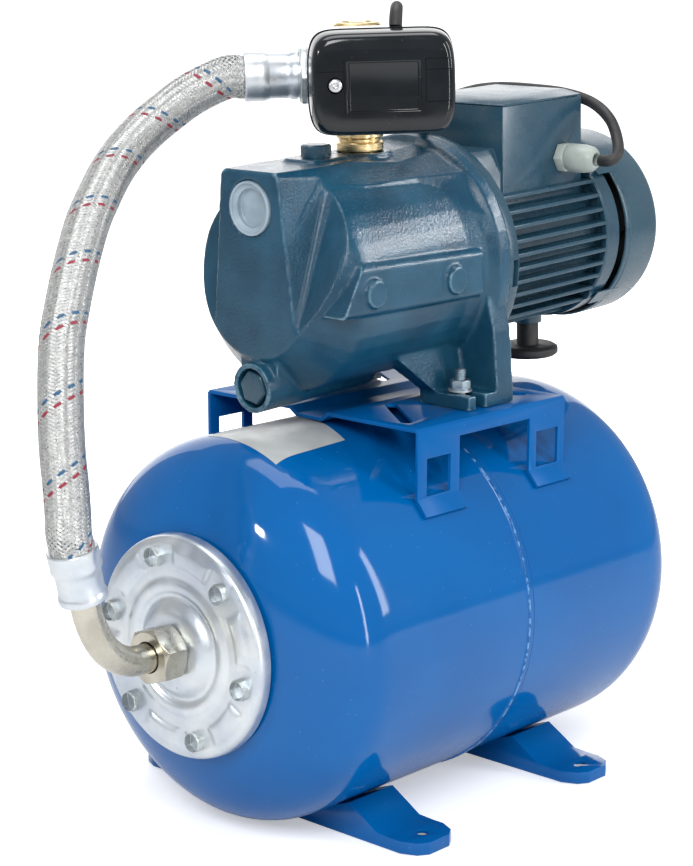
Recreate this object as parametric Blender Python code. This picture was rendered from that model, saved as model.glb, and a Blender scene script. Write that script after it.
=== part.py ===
"""Booster pump set: a self-priming jet pump on a horizontal membrane tank.

Metres, +Z up. X runs along the tank, its water connection on the -X end. The floor is at Z = 0 and
the origin is under the middle of the set. The pump, its motor and its fittings are modelled in the
pump's own frame, whose X axis is the shaft, and that frame stands slightly nose down on the bracket.
"""

import math

import bmesh
import bpy
from mathutils import Matrix, Vector

# Clearance between pieces that touch
gap = 0.0003

# Tank: two deep drawn shells welded at the middle
tank_radius = 0.135
tank_wall = 0.0025
tank_half_cylinder = 0.140
tank_dome_depth = 0.062
tank_dome_power = 2.6
tank_axis_height = tank_radius + 0.004
tank_neck_radius = 0.045
seam_width = 0.007
seam_height = 0.0015
tank_sides = 36
membrane_radius = tank_radius - 0.030
membrane_length = 2 * tank_half_cylinder + 0.020
membrane_wall = 0.003

# Flange that closes the tank's neck
neck_ring_radius = tank_neck_radius + 0.031
flange_radius = tank_neck_radius + 0.032
flange_skirt = 0.011
flange_sheet = 0.003
flange_face_x = -(tank_half_cylinder + tank_dome_depth + 0.008)
flange_bolt_circle = tank_neck_radius + 0.0184
flange_bolt_count = 6
flange_bolt_turn = math.radians(17)
bolt_diameter = 0.008
bolt_head_width = 0.013
bolt_head_height = 0.0055
bolt_reach = 0.0092
stub_radius = 0.0165
stub_length = 0.017
valve_radius = 0.0042

# Feet: one pressed saddle near each end of the tank
front_foot_x = 0.0405 - tank_half_cylinder
rear_foot_x = tank_half_cylinder - 0.0606
foot_width = 0.045
foot_half_span = tank_radius + 0.003
foot_hole_y = foot_half_span - 0.016
foot_hole_radius = 0.0045
foot_sheet = 0.0025
foot_lip = 0.0085

# Pressed bracket that carries the pump
bracket_front_x = -0.0824
bracket_rear_x = 0.0779
bracket_half_width = 0.1006
bracket_top = tank_axis_height + tank_radius + 0.0087
bracket_sheet = 0.0025
bracket_apron = 0.0105
bracket_leg_bottom = tank_axis_height + math.sqrt(tank_radius**2 - bracket_half_width**2) + 0.0005
front_leg_width = 0.0431
rear_leg_width = 0.040
leg_window_width = 0.025
leg_window_height = 0.030
leg_window_bottom = bracket_leg_bottom + 0.002
channel_half_width = 0.011
channel_slope = 0.0065
slot_width = 0.009

# Pump's place on the bracket
pump_origin = (0.0193, 0.0, bracket_top + 0.0964)
pump_pitch = math.radians(2.5)

# Pump body
barrel_radius = 0.075
barrel_wall = 0.007
body_front_x = -0.1558
face_radius = 0.0477
front_round = 0.016
slope_foot_z = -0.028
slope_run = 0.4
joint_x = 0.0115
flange_thickness = 0.0115
body_flange_radius = 0.087
ridge_top = 0.0788
ridge_half_width = 0.0264
shoulder_x = -0.1205
shoulder_half_width = 0.040
shoulder_z = 0.061
ridge_bead = 0.0015
face_half_width = 0.0377
face_corner_z = -0.026
port_z = 0.0539
port_bore_radius = 0.0148
port_cap_radius = 0.0185
boss_z = -0.0005
boss_x = (-0.1195, -0.0415)
boss_radius = 0.0096
boss_reach = 0.0805
drain_front_x = -0.1608
drain_keel_end = -0.052
drain_z = -0.067
drain_boss_radius = 0.0172
drain_recess_radius = 0.0135
plug_hex_width = 0.021
priming_hex_width = 0.018
drain_bore_radius = 0.008
priming_x = -0.0906
priming_bore_radius = 0.0095
outlet_x = -0.0465
outlet_bore_radius = 0.0125
stud_x = -0.001
stud_y = 0.0684
stud_radius = 0.004
stud_top = bracket_top + 0.0263
foot_plate_thickness = 0.010
foot_plate_front = -0.014
foot_plate_inner = 0.042
foot_plate_outer = 0.0875

# Shaft line
shaft_radius = 0.0065
rotor_radius = 0.033
rotor_start = 0.058
rotor_end = 0.124
impeller_radius = 0.060
impeller_x = -0.012
impeller_vanes = 6
diffuser_radius = 0.0665
bearing_outer_radius = 0.0175
bearing_width = 0.011
front_bearing_x = 0.030
rear_bearing_x = 0.146
venturi_start = -0.112
venturi_end = -0.046

# Motor
bracket_flange_radius = 0.086
bracket_flange_end = 0.0215
motor_front_x = 0.0245
motor_rear_x = 0.1505
motor_fin_radius = 0.067
motor_core_radius = 0.056
fin_pitch = 0.010
fin_thickness = 0.0035
fin_count = 10
fin_top_z = 0.040
motor_bore_radius = 0.048
shield_radius = 0.063
shield_end = 0.160
cover_front = 0.171
cover_rear = 0.216
cover_radius = 0.0705
cover_wall = 0.0016
cover_spokes = 12
fan_radius = 0.058
fan_blades = 8
box_front = 0.055
box_rear = 0.1475
box_half_width = 0.045
box_base_z = 0.045
lid_z = 0.1030
lid_top = 0.1080
lid_chamfer = 0.013
gland_x = 0.124
gland_z = 0.0605
gland_radius = 0.0105
gland_reach = 0.0765
post_x = 0.139
post_radius = 0.0085
post_base_radius = 0.0235
post_base_z = -0.096
post_base_thickness = 0.008

# Outlet fitting, pressure switch and hose
fitting_turn = math.radians(137)
fitting_radius = 0.0163
fitting_top = 0.168
hose_port_z = 0.133
hose_port_reach = 0.0415
switch_centre = -0.0106
switch_half_width = 0.049
switch_bottom = 0.098
switch_top = 0.168
switch_back = 0.034
switch_split = 0.060
switch_front = 0.083
switch_wall = 0.0025
switch_screw_x = 0.0215
switch_screw_z = 0.133
screw_radius = 0.0048
switch_port_z = 0.126
nipple_radius = 0.0065
rocker_pivot_x = -0.031
rocker_y = 0.0538
rocker_sheet = 0.0016
spring_stud_x = -0.0155
spring_stud_radius = 0.0022
spring_nut_y = 0.0735
hose_radius = 0.015
ferrule_radius = 0.0168
crimp_radius = 0.0152
ferrule_length = 0.0366
elbow_radius = 0.010
union_nut_width = 0.035
union_nut_length = 0.020
lead_radius = 0.0042

# Routes of the hose and the motor lead, from the tank's frame, in metres
hose_route = (
    (-0.0904, 0.0536, 0.5074), (-0.0992, 0.0618, 0.5069), (-0.1160, 0.0765, 0.4965),
    (-0.1310, 0.0870, 0.4838), (-0.1480, 0.0915, 0.4715), (-0.1660, 0.0905, 0.4590),
    (-0.1840, 0.0850, 0.4467), (-0.2015, 0.0775, 0.4330), (-0.2185, 0.0690, 0.4190),
    (-0.2350, 0.0590, 0.4024), (-0.2480, 0.0505, 0.3880), (-0.2613, 0.0415, 0.3714),
    (-0.2737, 0.0325, 0.3546), (-0.2822, 0.0250, 0.3374), (-0.2885, 0.0185, 0.3200),
    (-0.2934, 0.0130, 0.3025), (-0.2968, 0.0082, 0.2845), (-0.2990, 0.0035, 0.2663),
    (-0.3004, 0.0005, 0.2480), (-0.3005, 0.0, 0.2351), (-0.2984, 0.0, 0.2262),
)
lead_route = (
    (-0.0440, -0.0440, 0.5440), (-0.0425, -0.0430, 0.5508), (-0.0365, -0.0380, 0.5555),
    (-0.0270, -0.0290, 0.5530), (-0.0200, -0.0220, 0.5440), (-0.0150, -0.0190, 0.5300),
    (-0.0090, -0.0200, 0.5080), (0.0000, -0.0210, 0.4900), (0.0170, -0.0150, 0.4770),
    (0.0350, -0.0020, 0.4725), (0.0480, 0.0130, 0.4725), (0.0570, 0.0310, 0.4730),
    (0.0635, 0.0450, 0.4735), (0.0760, 0.0545, 0.4745), (0.0950, 0.0570, 0.4770),
    (0.1200, 0.0565, 0.4810), (0.1480, 0.0555, 0.4860),
    (0.1640, 0.0520, 0.4885), (0.1725, 0.0380, 0.4900), (0.1740, 0.0120, 0.4900),
    (0.1740, -0.0200, 0.4885), (0.1720, -0.0480, 0.4830), (0.1650, -0.0700, 0.4720),
    (0.1560, -0.0840, 0.4570), (0.1480, -0.0890, 0.4480), (0.1437, -0.0850, 0.4445),
    (0.1436, -0.0780, 0.4443),
)
elbow_route = (
    (-0.2300, 0.0, 0.1390), (-0.2400, 0.0, 0.1390), (-0.2520, 0.0, 0.1402), (-0.2640, 0.0, 0.1455),
    (-0.2740, 0.0, 0.1545), (-0.2812, 0.0, 0.1660), (-0.2858, 0.0, 0.1770), (-0.2890, 0.0, 0.1886),
)

set_middle_x = -0.03834


def material(name, colour, roughness, metallic=0.0):
    found = bpy.data.materials.get(name)
    if found:
        return found
    made = bpy.data.materials.new(name)
    made.use_nodes = True
    shader = made.node_tree.nodes["Principled BSDF"]
    shader.inputs["Base Color"].default_value = (*colour, 1.0)
    shader.inputs["Roughness"].default_value = roughness
    shader.inputs["Metallic"].default_value = metallic
    return made


def blue_paint():
    return material("blue_paint", (0.013, 0.13, 0.50), 0.22)


def pump_paint():
    return material("pump_paint", (0.035, 0.10, 0.145), 0.38)


def zinc():
    return material("zinc", (0.70, 0.73, 0.76), 0.32, 1.0)


def nickel():
    return material("nickel", (0.66, 0.62, 0.56), 0.25, 1.0)


def brass():
    return material("brass", (0.72, 0.50, 0.20), 0.28, 1.0)


def steel():
    return material("steel", (0.60, 0.60, 0.61), 0.35, 1.0)


def copper():
    return material("copper", (0.65, 0.30, 0.15), 0.35, 1.0)


def black_plastic():
    return material("black_plastic", (0.012, 0.013, 0.015), 0.18)


def grey_plastic():
    return material("grey_plastic", (0.55, 0.58, 0.57), 0.45)


def cap_plastic():
    return material("cap_plastic", (0.42, 0.52, 0.60), 0.42)


def black_rubber():
    return material("black_rubber", (0.018, 0.018, 0.02), 0.6)


def braid():
    return material("braid", (0.62, 0.62, 0.62), 0.35, 1.0)


def empty(name, parent=None, location=(0, 0, 0), rotation=(0, 0, 0)):
    frame = bpy.data.objects.new(name, None)
    bpy.context.scene.collection.objects.link(frame)
    frame.parent = parent
    frame.location = location
    frame.rotation_euler = rotation
    return frame


def place(name, bm, finish, parent, location=(0, 0, 0), smooth=35):
    """Makes the object of a mesh whose points are in the parent's frame."""
    bmesh.ops.translate(bm, verts=bm.verts, vec=-Vector(location))
    bmesh.ops.recalc_face_normals(bm, faces=bm.faces)
    mesh = bpy.data.meshes.new(name)
    bm.to_mesh(mesh)
    bm.free()
    mesh.shade_smooth()
    mesh.set_sharp_from_angle(angle=math.radians(smooth))
    mesh.materials.append(finish)
    made = bpy.data.objects.new(name, mesh)
    bpy.context.scene.collection.objects.link(made)
    made.parent = parent
    made.location = location
    return made


def turned_mesh(profile, sides, axis="X", centre=(0, 0, 0), closed=True):
    """Spins (along, radius) points about the axis. A profile that starts and ends on it is left open."""
    bm = bmesh.new()
    verts = [bm.verts.new((radius, 0, along)) for along, radius in profile]
    pairs = list(zip(verts, verts[1:]))
    if closed:
        pairs.append((verts[-1], verts[0]))
    edges = [bm.edges.new(pair) for pair in pairs]
    bmesh.ops.spin(
        bm, geom=verts + edges, axis=(0, 0, 1), cent=(0, 0, 0), angle=math.tau, steps=sides, use_merge=True
    )
    bmesh.ops.remove_doubles(bm, verts=bm.verts, dist=1e-6)
    turn = {"X": Matrix.Rotation(math.pi / 2, 4, "Y"), "Y": Matrix.Rotation(-math.pi / 2, 4, "X")}
    bmesh.ops.transform(bm, matrix=turn.get(axis, Matrix.Identity(4)), verts=bm.verts)
    bmesh.ops.translate(bm, verts=bm.verts, vec=centre)
    return bm


def turned(name, profile, finish, parent, sides=28, axis="X", centre=(0, 0, 0), location=(0, 0, 0)):
    on_axis = profile[0][1] == 0 and profile[-1][1] == 0
    bm = turned_mesh(profile, sides, axis, centre, closed=not on_axis)
    return place(name, bm, finish, parent, location)


def rod(name, start, end, radius, finish, parent, sides=24, axis="X", centre=(0, 0, 0)):
    profile = ((start, 0), (start, radius), (end, radius), (end, 0))
    return turned(name, profile, finish, parent, sides, axis, centre)


def prism_mesh(outline, low, high, axis="Z"):
    """Extrudes a 2-D outline. It lies in XY for axis Z, in YZ for axis X and in XZ for axis Y."""
    bm = bmesh.new()
    to_space = {
        "Z": lambda u, v: (u, v, low), "X": lambda u, v: (low, u, v), "Y": lambda u, v: (u, low, v)
    }[axis]
    face = bm.faces.new([bm.verts.new(to_space(u, v)) for u, v in outline])
    step = Vector({"Z": (0, 0, 1), "X": (1, 0, 0), "Y": (0, 1, 0)}[axis]) * (high - low)
    grown = bmesh.ops.extrude_face_region(bm, geom=[face])["geom"]
    bmesh.ops.translate(bm, verts=[v for v in grown if isinstance(v, bmesh.types.BMVert)], vec=step)
    return bm


def prism(name, outline, low, high, finish, parent, axis="Z"):
    return place(name, prism_mesh(outline, low, high, axis), finish, parent)


def box_mesh(low, high, bevel=0.0, segments=2):
    bm = bmesh.new()
    bmesh.ops.create_cube(bm, size=1)
    size = Vector(high) - Vector(low)
    middle = (Vector(high) + Vector(low)) / 2
    bmesh.ops.scale(bm, verts=bm.verts, vec=size)
    bmesh.ops.translate(bm, verts=bm.verts, vec=middle)
    if bevel:
        bmesh.ops.bevel(
            bm, geom=bm.edges[:], offset=bevel, segments=segments, profile=0.5, affect="EDGES"
        )
    return bm


def block(name, low, high, finish, parent, bevel=0.0, segments=2):
    return place(name, box_mesh(low, high, bevel, segments), finish, parent)


def loft_mesh(sections):
    """Joins rings of as many points each, and caps the two ends."""
    bm = bmesh.new()
    rings = [[bm.verts.new(point) for point in section] for section in sections]
    count = len(rings[0])
    for low, high in zip(rings, rings[1:]):
        for i in range(count):
            j = (i + 1) % count
            bm.faces.new((low[i], low[j], high[j], high[i]))
    bm.faces.new(rings[0][::-1])
    bm.faces.new(rings[-1])
    return bm


def polygon(radius, sides, turn=0.0):
    return [
        (radius * math.cos(turn + math.tau * i / sides), radius * math.sin(turn + math.tau * i / sides))
        for i in range(sides)
    ]


def hexagon(across_flats, turn=0.0):
    return polygon(across_flats / math.sqrt(3), 6, turn)


def helper(operand):
    operand.hide_render = True
    operand.display_type = "WIRE"
    return operand


def combine(target, operation, *operands):
    for operand in operands:
        modifier = target.modifiers.new(operand.name, "BOOLEAN")
        modifier.object = helper(operand)
        modifier.operation = operation
        modifier.solver = "EXACT"
    return target


def cut(target, *operands):
    return combine(target, "DIFFERENCE", *operands)


def fuse(target, *operands):
    return combine(target, "UNION", *operands)


def arc(radius, start, end, steps, centre=(0, 0)):
    """Points of an arc in degrees, first and last included."""
    return [
        (
            centre[0] + radius * math.cos(math.radians(start + (end - start) * i / steps)),
            centre[1] + radius * math.sin(math.radians(start + (end - start) * i / steps)),
        )
        for i in range(steps + 1)
    ]


def rounded(half_width, low, high, corner, steps=4, centre=0.0):
    """Outline of a rectangle with round corners, about centre in its first direction."""
    right, left = centre + half_width - corner, centre - half_width + corner
    return (
        arc(corner, 0, 90, steps, (right, high - corner))
        + arc(corner, 90, 180, steps, (left, high - corner))
        + arc(corner, 180, 270, steps, (left, low + corner))
        + arc(corner, 270, 360, steps, (right, low + corner))
    )


def smooth_path(points, spacing):
    """Reads a smooth curve through the points at equal steps, its first and last stretch straight."""
    points = [Vector(point) for point in points]
    padded = [2 * points[0] - points[1], *points, 2 * points[-1] - points[-2]]
    fine = []
    for a, b, c, d in zip(padded, padded[1:], padded[2:], padded[3:]):
        for i in range(12):
            t = i / 12
            fine.append(
                0.5 * (2 * b + (c - a) * t + (2 * a - 5 * b + 4 * c - d) * t * t
                       + (3 * b - a - 3 * c + d) * t ** 3)
            )
    fine.append(points[-1])
    middle = fine[12:-12]
    lengths = [0.0]
    for a, b in zip(middle, middle[1:]):
        lengths.append(lengths[-1] + (b - a).length)
    steps = max(2, round(lengths[-1] / spacing))
    path = [points[0]]
    at = 0
    for i in range(steps + 1):
        wanted = lengths[-1] * i / steps
        while at < len(middle) - 2 and lengths[at + 1] < wanted:
            at += 1
        share = (wanted - lengths[at]) / (lengths[at + 1] - lengths[at])
        path.append(middle[at].lerp(middle[at + 1], share))
    path.append(points[-1])
    return path


def tube(name, route, radius, spacing, resolution, finish, parent):
    curve = bpy.data.curves.new(name, "CURVE")
    curve.dimensions = "3D"
    curve.bevel_depth = radius
    curve.bevel_resolution = resolution
    curve.use_fill_caps = True
    path = smooth_path(route, spacing)
    spline = curve.splines.new("POLY")
    spline.points.add(len(path) - 1)
    for point, place_at in zip(spline.points, path):
        point.co = (*place_at, 1.0)
    curve.materials.append(finish)
    made = bpy.data.objects.new(name, curve)
    bpy.context.scene.collection.objects.link(made)
    made.parent = parent
    return made


# Tank


def dome_rise(radius, full_radius, depth):
    """How far the dome stands out at a radius: flatter in the middle than an ellipse, rounder at the edge."""
    share = min(1.0, radius / full_radius) ** tank_dome_power
    return depth * (1 - share) ** (1 / tank_dome_power)


def shell_profile(radius, depth, hole, steps=7):
    """(along, radius) from the seam out over the dome to its hole."""
    points = [(0.0, radius)]
    least = math.asin(hole / radius)
    for i in range(steps + 1):
        turn = math.pi / 2 - (math.pi / 2 - least) * i / steps
        ring = radius * math.sin(turn)
        points.append((tank_half_cylinder + dome_rise(ring, radius, depth), ring))
    return points


def make_front_shell(parent):
    outer = shell_profile(tank_radius, tank_dome_depth, tank_neck_radius)
    inner = shell_profile(tank_radius - tank_wall, tank_dome_depth - tank_wall, tank_neck_radius, 4)
    seam = seam_width / 2
    bead = [(gap - seam, tank_radius - tank_wall), (gap - seam, tank_radius + seam_height)]
    bead += [(seam, tank_radius + seam_height), (seam, tank_radius)]
    profile = [(-x, r) for x, r in bead + outer[1:] + inner[:0:-1]]
    return turned(
        "tank_front_shell", profile, blue_paint(), parent, tank_sides, centre=(0, 0, tank_axis_height)
    )


def make_rear_shell(parent):
    start = seam_width / 2 + gap
    hole = valve_radius + gap
    outer = shell_profile(tank_radius, tank_dome_depth, hole)
    inner = shell_profile(tank_radius - tank_wall, tank_dome_depth - tank_wall, hole, 4)
    profile = [(start, tank_radius), *outer[1:], *inner[:0:-1], (start, tank_radius - tank_wall)]
    return turned(
        "tank_rear_shell", profile, blue_paint(), parent, tank_sides, centre=(0, 0, tank_axis_height)
    )


def make_neck_ring(parent):
    """Welded ring behind the flange, threaded for the bolts."""
    front = flange_face_x + flange_sheet + 2 * gap
    inner = tank_neck_radius + 0.001
    outer = neck_ring_radius - flange_sheet - 0.001
    seat = [
        (-tank_half_cylinder - dome_rise(r, tank_radius, tank_dome_depth) - 2 * gap, r)
        for r in (outer, 0.066, 0.058, inner)
    ]
    profile = [(front, inner), (front, outer), *seat]
    ring = turned(
        "tank_neck_ring", profile, blue_paint(), parent, 24, centre=(0, 0, tank_axis_height)
    )
    for i, (y, z) in enumerate(bolt_places()):
        hole = rod(
            f"neck_bolt_hole_{i + 1}", front - 0.002, front + 0.03, bolt_diameter / 2 + gap, zinc(),
            parent, 8, centre=(0, y, z),
        )
        cut(ring, hole)
    return ring


def bolt_places():
    for i in range(flange_bolt_count):
        turn = flange_bolt_turn + math.tau * i / flange_bolt_count
        yield (
            flange_bolt_circle * math.sin(turn),
            tank_axis_height + flange_bolt_circle * math.cos(turn),
        )


def make_membrane(parent):
    """Rubber bag whose beaded mouth is clamped in the neck, open to the water connection."""
    mouth = tank_neck_radius - 0.004
    bead = tank_neck_radius + 0.0006
    start = flange_face_x + flange_sheet + 0.0015
    wall = membrane_wall
    outer = [(start, bead), (start + 0.003, bead), (start + 0.003, mouth), (start + 0.012, mouth)]
    inner = [(start, mouth - wall), (start + 0.012, mouth - wall)]
    half = membrane_length / 2
    steps = 8
    for i in range(2, steps + 1):
        turn = math.pi * i / steps
        fullness = math.sin(turn) ** 0.6 if i < steps else 0.0
        outer.append((start + half - half * math.cos(turn), membrane_radius * fullness))
        inner.append((start + half - (half - wall) * math.cos(turn), (membrane_radius - wall) * fullness))
    bm = turned_mesh(outer + inner[::-1], 16, centre=(0, 0, tank_axis_height), closed=True)
    bmesh.ops.remove_doubles(bm, verts=bm.verts, dist=1e-6)
    return place("membrane", bm, black_rubber(), parent)


def make_flange(parent):
    """Pressed cover: turned rim, ring bead and centre dome with a threaded stub."""
    face = flange_face_x
    t = flange_sheet
    front = [
        (face - stub_length - 0.006, stub_radius), (face - 0.0062, stub_radius), (face - 0.0062, 0.024),
        (face - 0.003, 0.030), (face + 0.0015, 0.0355), (face - 0.0012, 0.040), (face - 0.0012, 0.045),
        (face, 0.049), (face, flange_radius - 0.005),
        (face + 0.0013, flange_radius - 0.0016), (face + 0.005, flange_radius),
        (face + flange_skirt, flange_radius),
    ]
    back = [
        (face + flange_skirt, flange_radius - t * 0.7), (face + 0.0055, flange_radius - t * 0.8),
        (face + t, flange_radius - t - 0.002), (face + t, 0.047), (face + t + 0.0012, 0.0355),
        (face + t - 0.0062, 0.024), (face + t - 0.0062, 0.0125),
        (face - stub_length - 0.006, 0.0125),
    ]
    flange = turned(
        "tank_flange", front + back, zinc(), parent, 28, centre=(0, 0, tank_axis_height)
    )
    for i, (y, z) in enumerate(bolt_places()):
        cut(flange, rod(
            f"flange_bolt_hole_{i + 1}", face - 0.004, face + t + 0.004, bolt_diameter / 2 + gap, zinc(),
            parent, 8, centre=(0, y, z),
        ))
    return flange


def make_flange_bolts(parent):
    for i, (y, z) in enumerate(bolt_places()):
        head_back = flange_face_x - gap
        head_front = head_back - bolt_head_height
        bm = loft_mesh([
            [(head_front, y + 0.86 * a, z + 0.86 * b) for a, b in hexagon(bolt_head_width)],
            [(head_front + 0.0009, y + a, z + b) for a, b in hexagon(bolt_head_width)],
            [(head_back, y + a, z + b) for a, b in hexagon(bolt_head_width)],
        ])
        bolt = place(f"flange_bolt_{i + 1}", bm, zinc(), parent)
        shank = rod(
            f"flange_bolt_shank_{i + 1}", head_back - 0.001, head_back + bolt_reach, bolt_diameter / 2, zinc(),
            parent, 8, centre=(0, y, z),
        )
        fuse(bolt, shank)


def make_air_valve(parent):
    end = tank_half_cylinder + tank_dome_depth
    profile = (
        (end - 0.012, 0), (end - 0.012, valve_radius + 0.0025), (end - tank_wall - 0.0012, valve_radius + 0.0025),
        (end - tank_wall - 0.0012, valve_radius), (end + 0.014, valve_radius), (end + 0.0155, valve_radius - 0.001),
        (end + 0.0155, 0),
    )
    turned("air_valve", profile, brass(), parent, 16, centre=(0, 0, tank_axis_height))


def make_air_valve_cap(parent):
    start = tank_half_cylinder + tank_dome_depth + 0.004
    end = start + 0.015
    outer = valve_radius + 0.003
    bore = valve_radius + gap
    profile = (
        (start, bore), (start, outer), (end - 0.002, outer), (end, outer - 0.002), (end, 0),
        (end - 0.003, 0), (end - 0.003, bore),
    )
    bm = turned_mesh(profile, 16, centre=(0, 0, tank_axis_height), closed=True)
    place("air_valve_cap", bm, black_plastic(), parent, (start, 0, tank_axis_height))


# Feet


def saddle_height(y, clearance):
    return tank_axis_height - math.sqrt((tank_radius + clearance) ** 2 - y * y)


def foot_top(y):
    """Height of the pressed strap's upper side, from its pad at the end to the tank's underside."""
    pad_end, rise_end = foot_half_span - 0.034, foot_half_span - 0.066
    away = abs(y)
    if away >= pad_end:
        return foot_lip
    crest = saddle_height(rise_end, gap)
    if away > rise_end:
        share = (pad_end - away) / (pad_end - rise_end)
        ease = share * share * (3 - 2 * share)
        return foot_lip + (crest - foot_lip) * ease
    return saddle_height(away, gap)


def make_foot(name, x, parent):
    """One strap with turned down lips, its middle hollowed to the tank's round underside."""
    steps = 22
    ys = [foot_half_span * (2 * i / steps - 1) for i in range(steps + 1)]
    top = [(y, foot_top(y)) for y in ys]
    low = [(y, 0.0) for y in ys[::-1]]
    half = foot_width / 2
    outline = top + [(foot_half_span, 0.0), (-foot_half_span, 0.0)]
    body = place(name, prism_mesh(outline, x - half, x + half, "X"), blue_paint(), parent)
    hollow_top = [(y, max(foot_top(y) - foot_sheet, 0.002)) for y in ys if abs(y) < foot_half_span - 0.004]
    first, last = hollow_top[0][0], hollow_top[-1][0]
    hollow = prism(
        f"{name}_hollow", [*hollow_top, (last, -0.01), (first, -0.01)], x - half + foot_sheet,
        x + half - foot_sheet, blue_paint(), parent, "X",
    )
    cut(body, hollow)
    for side in (-1, 1):
        cut(body, rod(
            f"{name}_hole_{'left' if side < 0 else 'right'}", -0.002, foot_lip + 0.01, foot_hole_radius,
            blue_paint(), parent, 16, "Z", (x, side * foot_hole_y, 0),
        ))
        cut(body, wedge_corners(name, x, side, parent))
    return body


def wedge_corners(name, x, side, parent):
    """Trims the end of the pad to its rounded tongue shape."""
    half = foot_width / 2
    edge = side * (foot_half_span + 0.01)
    inner = side * (foot_half_span - 0.016)
    tip = side * foot_half_span
    outline = [
        (x - half - 0.01, inner), (x - half, inner), (x - half * 0.78, side * (foot_half_span - 0.005)),
        (x - half * 0.45, tip), (x + half * 0.45, tip), (x + half * 0.78, side * (foot_half_span - 0.005)),
        (x + half, inner), (x + half + 0.01, inner), (x + half + 0.01, edge), (x - half - 0.01, edge),
    ]
    label = "left" if side < 0 else "right"
    return prism(f"{name}_trim_{label}", outline, -0.01, 0.05, blue_paint(), parent)


# Bracket


def bracket_section():
    """Half profile across the bracket: centre channel, slope, flat top and outer corner."""
    crown = tank_axis_height + tank_radius + seam_height + gap
    flat_start = channel_half_width + channel_slope
    t = bracket_sheet
    w = bracket_half_width
    top = bracket_top
    upper = [(0.0, crown + t), (channel_half_width, crown + t), (flat_start, top), (w - 0.002, top), (w, top - 0.002)]
    lower = [(w - t, top - t), (flat_start + 0.001, top - t), (channel_half_width + 0.001, crown), (0.0, crown)]
    return upper, lower


def make_bracket(parent):
    upper, lower = bracket_section()
    foot = bracket_top - bracket_apron
    w, t = bracket_half_width, bracket_sheet
    right = upper + [(w, foot), (w - t, foot)] + lower
    outline = right[:-1] + [(-y, z) for y, z in reversed(right[:-1])]
    outline = [p for i, p in enumerate(outline) if i == 0 or p != outline[i - 1]]
    plate = prism("pump_bracket", outline, bracket_front_x, bracket_rear_x, blue_paint(), parent, "X")
    for side in (-1, 1):
        label = "left" if side < 0 else "right"
        for end, low_x, high_x in (
            ("front", bracket_front_x, bracket_front_x + front_leg_width),
            ("rear", bracket_rear_x - rear_leg_width, bracket_rear_x),
        ):
            fuse(plate, make_leg(f"leg_{end}_{label}", side, low_x, high_x, end, parent))
    for i, outline in enumerate(bracket_slots()):
        cut(plate, prism(
            f"bracket_slot_{i + 1}", outline, bracket_top - 0.02, bracket_top + 0.01, blue_paint(), parent
        ))
    for side in (-1, 1):
        label = "left" if side < 0 else "right"
        cut(plate, rod(
            f"bracket_stud_hole_{label}", bracket_top - 0.012, bracket_top + 0.01, stud_radius + gap,
            blue_paint(), parent, 16, "Z", (stud_x, side * stud_y, 0),
        ))
    return plate


def make_leg(name, side, low_x, high_x, end, parent):
    """A leg with its window, and below it the flap that is spot welded to the tank."""
    t = bracket_sheet
    w = bracket_half_width
    flap = 0.013
    turn = math.atan2(w - t / 2, bracket_leg_bottom - tank_axis_height)
    along = Vector((math.cos(turn), -math.sin(turn)))
    out = Vector((math.sin(turn), math.cos(turn)))
    reach = tank_radius + gap
    inner = out * reach + Vector((0, tank_axis_height))
    shift = (w - t - inner.x) / along.x
    start = inner + along * shift
    end_point = start + along * flap
    profile = [
        (w, bracket_top - bracket_apron + 0.002), (w, start.y + t * 0.9),
        tuple(end_point + out * t), tuple(end_point), tuple(start), (w - t, bracket_top - bracket_apron + 0.002),
    ]
    leg = prism(
        f"bracket_{name}", [(side * y, z) for y, z in profile], low_x, high_x, blue_paint(), parent, "X"
    )
    middle = (low_x + high_x) / 2
    window = block(
        f"bracket_{name}_window",
        (middle - leg_window_width / 2, min(side * (w - 0.02), side * (w + 0.02)), leg_window_bottom + 0.004),
        (middle + leg_window_width / 2, max(side * (w - 0.02), side * (w + 0.02)),
         leg_window_bottom + leg_window_height),
        blue_paint(), parent,
    )
    return cut(leg, window)


def bracket_slots():
    """Slanted adjusting slots, a pair at each end."""
    for start, end in (((-0.033, 0.032), (-0.068, 0.0775)), ((0.034, 0.034), (0.060, 0.074))):
        for side in (-1, 1):
            a = Vector((start[0], side * start[1]))
            b = Vector((end[0], side * end[1]))
            along = (b - a).normalized()
            angle = math.degrees(math.atan2(along.y, along.x))
            radius = slot_width / 2
            yield arc(radius, angle - 90, angle + 90, 5, b) + arc(radius, angle + 90, angle + 270, 5, a)


def make_studs(parent):
    for side in (-1, 1):
        label = "left" if side < 0 else "right"
        y = side * stud_y
        head_top = bracket_top - bracket_sheet - gap
        stud = rod(
            f"mount_bolt_{label}", head_top - 0.001, stud_top, stud_radius, zinc(), parent, 16, "Z",
            (stud_x, y, 0),
        )
        head = prism(
            f"mount_bolt_head_{label}", [(stud_x + a, y + b) for a, b in hexagon(0.013)],
            head_top - 0.0053, head_top, zinc(), parent,
        )
        fuse(stud, head)
        seat = bracket_top + foot_plate_thickness + 2 * gap
        nut = turned(
            f"mount_nut_{label}",
            ((seat, 0), (seat, 0.0085), (seat + 0.0014, 0.0085), (seat + 0.0014, 0)),
            zinc(), parent, 12, "Z", (stud_x, y, 0),
        )
        body = prism(
            f"mount_nut_hex_{label}", [(stud_x + a, y + b) for a, b in hexagon(0.013)], seat + 0.0008,
            seat + 0.0082, zinc(), parent,
        )
        bore = rod(
            f"mount_nut_bore_{label}", seat - 0.01, seat + 0.02, stud_radius + gap, zinc(), parent, 12, "Z",
            (stud_x, y, 0),
        )
        fuse(nut, body)
        cut(nut, bore)


# Pump body


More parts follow.
